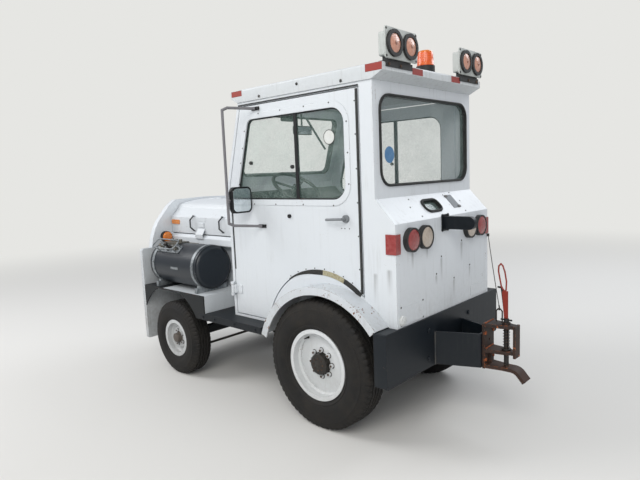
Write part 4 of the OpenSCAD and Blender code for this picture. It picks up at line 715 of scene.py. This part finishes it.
# Doors. Hollow steel doors in the cab's enamel. A pressed frame is screwed round the sliding windows,
# and rubber strips glued on the edges close the rear and the foot.
door_white = dress(
    worn("door_enamel", "#D4D9DE", "#918F88", "#6B4A36", 0.35, 0.45, 0.0, 0.9, stain_share=0.2),
    "door_left", "door_right")
fittings_black = plain("fittings_satin_black", "#191A1C", "#33322F", 0.5, 0.25, 160)
# the mirror's tube is in the same dull grey as the handle, and rusts at its bends
arm_grey, handle_grey = "#77767A", "#7C8084"
dress(worn(
    "fittings_black_and_grey", "#191A1C", "#45423D", "#6B4A36", 0.45, 0.5, 0.012, 0.9, mirror=0.35,
    zones=((arm_grey, ((1, 0.7355, 0.80),)), (arm_grey, ((1, 0.5625, 0.80), (2, 1.20, 1.262))),
           (arm_grey, ((1, 0.5625, 0.80), (2, 1.955, 2.02))),
           (handle_grey, ((0, -0.70, -0.52), (1, 0.556, 0.62), (2, 1.262, 1.315))))),
      "door_fittings_left", "door_fittings_right")
mirror_silver = plain("mirror_silver", "#E6ECEE", "#D5DDE0", 0.12, 0.02, 40, metal=1.0)
screw_places = ((507, 1952), (305, 1952), (101, 1952), (-97, 1952), (-223, 1835), (-225, 1662), (-227, 1486),
                (-107, 1364), (138, 1367), (383, 1367), (590, 1367), (654, 1850), (683, 1740), (711, 1642),
                (736, 1500))
skin_y, strip_y, pane_y = 553, 552.8, 541.3
for side, s in SIDES:
    door = "door_" + side
    # the window frame's screws, the edge strips' clips and the marks of a lost keeper
    for name, size, places in (
            ("window_screws_", (0.0046, 0.0022, 10), [(x, 556, z) for x, z in screw_places]),
            ("seal_clips_", (0.0045, 0.002, 6), [(-282, skin_y, z) for z in (1000, 1190, 1380, 1570, 1760, 1940)]),
            ("keeper_marks_", (0.0035, 0.0016, 8), [(x, skin_y, 1231) for x in (-160, -184, -218)])):
        strewn(name + side, size, [spot(x, s * y, z) for x, y, z in places], *rivet_look,
               body=door)
    for name, x, z, size, corner, body in (
            ("door_seal_rear_", -297.5, 1432, (0.017, 1.146, 0.0032), 0.004, door),
            ("gutter_strip_", 196, 2021, (1.016, 0.008, 0.0040), 0.002, "chassis"),
            ("door_seal_foot_", 833.5, 1130, (0.010, 0.450, 0.0028), 0.003, door)):
        plate(name + side, spot(x, s * strip_y, z), size, "seal_rubber", seal_rubber, corner=corner, body=body)
    strewn("hinge_screws_" + side, (0.005, 0.003, 10),
           spots((785, 815), (s * 558,), (745, 781, 1382, 1418)),
           "body_white", door_white, body=door)
    # the sliding panes' pull knobs and the mirror's glass
    strewn("pane_knobs_" + side, (0.012, 0.014, 16), [spot(x, s * pane_y, z) for x, z in ((620, 1639), (232, 1600))],
           "fittings_black", fittings_black, body=door)
    plate("mirror_glass_" + side, spot(604.8, s * 650, 1400), (0.143, 0.150, 0.0016), "window_glass", mirror_silver,
          BACK, 0.028, door, segments=8)


# Rear face. Two round lamps a side in rubber rings, corner reflectors, blank plates where signs were
# riveted, the arm's bolts and the white cap of the fuel filler.
plate("rear_blank_left", spot(-532.2, 405, 749), (0.240, 0.100, 0.0012), "body_white", rear_white, BACK, 0.004)
plate("rear_blank_right", spot(-532.2, -419, 740), (0.238, 0.072, 0.0012), "body_white", rear_white, BACK, 0.004)
strewn("rear_panel_screws", (0.0055, 0.003, 10),
       [spot(-532, y, z) for y, z in ((73, 1026), (-182, 1093), (-290, 920), (-80, 869), (133, 929), (290, 803),
                                      (515, 803), (290, 703), (515, 703))], *rivet_look, BACK)
strewn("arm_bolts", (0.008, 0.006, 6, 0.012), spots((-538,), (-4, 60), (1186, 1270)),
       "frame_black", chassis_black, BACK)
filler = [(0, 0.016), (0.020, 0.0155), (0.026, 0.013), (0.0275, 0.010), (0.0275, 0.003), (0.031, 0.002), (0.031, 0),
          (0, 0)]
fit(spun(filler, spot(-532.1, 508, 730), 40, BACK), "filler_cap",
    plain("filler_cap_white", "#D2D6D8", "#B9BAB6", 0.5, 0.1, 150))


# Bonnet, nose and front. Two folded covers meet at a spine hinge; black handles are screwed on. Mud
# lies along their feet. Badge places are blank plates. A thick rubber is bolted to the front plate.
cover_white = dress(worn(
    "bonnet_enamel", "#D4D9DE", "#8F8C85", "#6B4A36", 0.36, 0.7, 0.004, 1.25, stain_share=0.35,
    zones=[("#2E3236", ((0, x - 0.018, x + 0.018), (1, 0.3785, 0.45), (2, 1.09, 1.27))) for x in (0.7165, 1.0985)]),
                    "hood_cover_left", "hood_cover_right")
shelf_white = dress(
    worn("shelf_enamel", "#CBD0D4", "#7D7A74", "#70452D", 0.42, 1.0, 0.02, 0.95, stain_share=0.6),
    "front_plate")
# the skirts are in the chassis' black; the dark patch on the shelf top under the tank's front end is a painted shadow
# of the tank
dress(worn(
    "shelf_white_black_and_tank_shadow", "#CBD0D4", "#57554F", "#70452D", 0.46, 0.2, 0.02, 0.95, stain_share=0.05, mirror=0.35,
    # first zone: the skirts' black paint; second zone: a painted shadow of the tank on the shelf top
    zones=(("#0F1418", ((1, 0.6675, 0.70),)), ("#171B1F", ((0, 1.165, 1.45), (1, 0.30, 0.70), (2, 0.6945, 0.70))))),
      "front_fenders")
side_amber = lens_plastic("side_marker_amber", "#D97A24", "#EDA045", "X", 90.0)
for side, s in SIDES:
    body = "hood_cover_" + side
    plate("cover_blank_" + side, spot(1467, s * 377.2, 1222), (0.140, 0.030, 0.001), "body_white", cover_white,
          corner=0.003, body=body)
    plate("side_marker_" + side, spot(1825, s * 377.2, 1194), (0.108, 0.036, 0.008), "lens_amber", side_amber,
          corner=0.006, body=body)
    strewn("handle_screws_" + side, (0.006, 0.003, 10),
           spots((1166, 1194, 1548, 1576), (s * 377,), (1129, 1248)),
           "body_white", cover_white, body=body)
strewn("nose_screws", (0.007, 0.004, 10),
       [spot(1906, s * y, z) for s in (1, -1) for y, z in ((545, 1030), (300, 1340), (300, 1015), (120, 1345))],
       "body_white", cover_white, AHEAD)
strewn("plate_bolts", (0.011, 0.008, 6, 0.016),
       spots((1930,), (250, 600, -250, -600), (520, 940)),
       "body_white", shelf_white, AHEAD)
bumper_rubber = dress(plain("bumper_rubber", "#1B1B1C", "#45413B", 0.78, 0.5, 80), "front_rubber")


def soft_block(low, high, radius):
    """A rounded block between two corners: a cube, sized and bevelled all round."""
    bpy.ops.mesh.primitive_cube_add(size=1, location=(0, 0, 0))
    piece = bpy.context.object
    bpy.ops.object.mode_set(mode="EDIT")
    bpy.ops.transform.resize(value=tuple(high[i] - low[i] for i in range(3)))
    bpy.ops.mesh.bevel(offset=radius, segments=3, affect="EDGES")
    bpy.ops.object.mode_set(mode="OBJECT")
    piece.location = (low + high) / 2
    return piece


# end pads carry the rubber on to the plate's corners
for side, y0, y1 in (("left", 600.5, 652), ("right", -652, -600.5)):
    fit(soft_block(spot(1930.4, y0, 252), spot(1964, y1, 438), 0.011), "front_rubber_end_" + side,
        bumper_rubber)


# Gas tank. A welded steel cylinder in dark blue-grey paint, held to the shelf by two steel bands with
# pale rubbed edges. Its valves are of dull metal and stand within a bent guard rail.
tank_paint = dress(worn("tank_grey_black", "#1F252C", "#4A4C4B", "#7B7F80", 0.34, 0.5, 0.008, 0.85,
                        stain="#5A5046", stain_share=0.2, mirror=0.4), "lpg_tank")
strap_steel = dress(plain("strap_steel", "#6C7276", "#9BA0A3", 0.42, 0.3, 60, metal=0.5), "tank_straps")
valve_metal = dress(plain("dull_valve_metal", "#5F605C", "#8A857A", 0.42, 0.25, 90, metal=0.75),
                    "tank_valves")
tank_y, tank_z = 505, 880
# a weld ring where each dished end joins the shell
ring = [(0.1650, -0.004), (0.1668, -0.002), (0.1668, 0.002), (0.1650, 0.004), (0.1640, 0)]
for k, x in enumerate((1170, 1780)):
    fit(spun(ring, spot(x, tank_y, tank_z), 96, BACK), f"tank_seam_{k}", tank_paint)
strewn("strap_buckles", (0.010, 0.012, 6, 0.015), spots((1210, 1740), (tank_y + 165.6,), (905,)),
       "strap_steel", strap_steel)
plate("tank_blank", spot(1444, tank_y + 165.2, 872), (0.096, 0.018, 0.0008), "tank_paint", strap_steel, corner=0.003)
# the valve set on the tank's shoulder: a foot, three stems with their nuts and a guard rail
shoulder = radians(50)
off_tank = Vector((0, cos(shoulder), sin(shoulder)))
up_tank = Vector((0, -sin(shoulder), cos(shoulder)))


def on_foot(x, up, off):
    return spot(1575 + x, tank_y, tank_z) + up_tank * (up / 1000) + off_tank * (off / 1000)


plate("valve_foot", on_foot(0, 0, 165.2), (0.300, 0.072, 0.006), "valve_brass", strap_steel, off_tank, 0.012,
      up=up_tank)
valve = ((0, 0.047), (0.009, 0.047), (0.013, 0.043), (0.013, 0.033), (0.007, 0.031), (0.007, 0.019), (0.017, 0.017),
         (0.019, 0.0), (0, 0))
for k, (x, size, finish) in enumerate(((-95, 1.0, valve_metal), (0, 1.35, hub_grease), (100, 0.9, valve_metal))):
    fit(spun([(r * size, y * size) for r, y in valve], on_foot(x, 0, 170.2), 24, off_tank), f"valve_stem_{k}",
        finish)
bead_round("valve_guard_rail", [on_foot(x, up, 225.2) for x, up in rounded_corners(300, 92, 30)], 0.0052,
           strap_steel)
strewn("valve_guard_legs", (0.0052, 0.060, 10), [on_foot(x, up, 166.2) for x in (-112, 112) for up in (-28, 28)],
       "valve_brass", strap_steel, off_tank)


# Inside the cab. A black moulded dash carries round dials, a wheel on a raked column and a few
# switches; a wiper motor hangs over the windscreen, with the mirror beside it.
dash_black = dress(plain("dash_plastic", "#202123", "#34332F", 0.6, 0.45, 240), "dashboard")
wheel_black = dress(plain("wheel_plastic", "#151618", "#2B2A28", 0.42, 0.2, 260), "steering_wheel")
dial_face = plain("dial_face", "#0E0F10", "#202021", 0.3, 0.05, 200)
off_dash = Vector((-0.664, 0, 0.747))
dash_x, dash_z = 745, 1400.3
dial = [(0, 0.003), (0.030, 0.003), (0.0315, 0.006), (0.036, 0.006), (0.037, 0.0), (0, 0)]
for k, y in enumerate((150, 240, 330)):
    fit(spun(dial, spot(dash_x, y, dash_z), 36, off_dash), f"dial_{k}", dial_face)
strewn("dash_switches", (0.008, 0.014, 12), spots((dash_x,), (60, 20, -20, -60), (dash_z,)),
       "dash_plastic", wheel_black, off_dash)
for name, low, high, radius in (("wiper_motor", spot(640, 60, 1935), spot(700, 180, 2015), 0.012),
                                ("inside_mirror", spot(640, -95, 1840), spot(662, 95, 1905), 0.009),
                                ("mirror_stalk", spot(650, -6, 1903), spot(662, 6, 2040), 0.004)):
    fit(soft_block(low, high, radius), name, dash_black)
plate("inside_mirror_glass", spot(639.6, 0, 1872), (0.172, 0.050, 0.0008), "window_glass", mirror_silver, BACK, 0.008)
# the wiper: an arm and a blade that lean to the right of the windscreen, just outside its pane
screen_foot, screen_top, wiper_z = (872, 1489), (711, 2036), 1858
lean = Vector((screen_top[0] - screen_foot[0], 0, screen_top[1] - screen_foot[1])).normalized()
screen_out = Vector((lean.z, 0, -lean.x))
wiper_way = (lean * 0.132 + Vector((0, 0.155, 0))).normalized()
wiper_x = screen_foot[0] + (wiper_z - screen_foot[1]) * lean.x / lean.z
wiper = spot(wiper_x, -290, wiper_z) + screen_out * 0.016
plate("wiper_arm", wiper + wiper_way * 0.060 + screen_out * 0.010, (0.009, 0.300, 0.004), "fittings_black",
      fittings_black, screen_out, 0.002, up=wiper_way)
plate("wiper_blade", wiper, (0.014, 0.380, 0.008), "fittings_black", seal_rubber, screen_out, 0.004, up=wiper_way)


# Seat. A sprung cushion and a backrest in black vinyl over foam, drawn down by a piped seam round
# each edge. Both are swelled by cloth simulation from a slightly smaller block.
vinyl = plain("seat_vinyl", "#1A1A1C", "#2C2B2A", 0.45, 0.5, 420, gloss_coat=0.15)


def applied(piece, name, kind, **settings):
    """Puts a modifier on the active piece with its settings, and applies it."""
    modifier = piece.modifiers.new(name, kind)
    for key, value in settings.items():
        setattr(modifier, key, value)
    bpy.ops.object.modifier_apply(modifier=name)


def cushion(name, low, high, lean, cap):
    """A padded block: remeshed, blown up as cloth, held to the cap, then leaned back about its foot."""
    piece = soft_block(low, high, 0.020)
    only(piece)
    bpy.ops.object.transform_apply(location=True, rotation=True, scale=True)
    applied(piece, "even", "REMESH", mode="VOXEL", voxel_size=0.009)
    start = [vertex.co.copy() for vertex in piece.data.vertices]
    seat_foot = piece.vertex_groups.new(name="seat_foot")
    seat_foot.add([v.index for v in piece.data.vertices if v.co.z < low[2] + 0.006], 1.0, "REPLACE")
    cloth = piece.modifiers.new("swell", "CLOTH").settings
    cloth.use_pressure = True
    cloth.uniform_pressure_force = 4.0
    cloth.effector_weights.gravity = 0.0
    cloth.vertex_group_mass = "seat_foot"
    for moment in range(1, 21):
        scene.frame_set(moment)
    bpy.ops.object.modifier_apply(modifier="swell")
    scene.frame_set(1)
    for vertex, before in zip(piece.data.vertices, start):
        moved = vertex.co - before
        if moved.length > cap:
            vertex.co = before + moved * (cap / moved.length)
    applied(piece, "even_out", "SMOOTH", iterations=4)
    applied(piece, "finer", "SUBSURF", levels=1, render_levels=1)
    foot = Vector(((low[0] + high[0]) / 2, 0, low[2]))
    piece.data.transform(Matrix.Translation(foot) @ Matrix.Rotation(lean, 4, "Y") @ Matrix.Translation(-foot))
    fit(piece, name, vinyl, angle=60)
    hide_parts("seat_cushions")


cushion("seat_cushion", spot(-306, 32, 933), spot(130, 448, 1008), 0.0, 0.012)
cushion("seat_backrest", spot(-298, 40, 1034), spot(-232, 440, 1440), -0.17, 0.014)
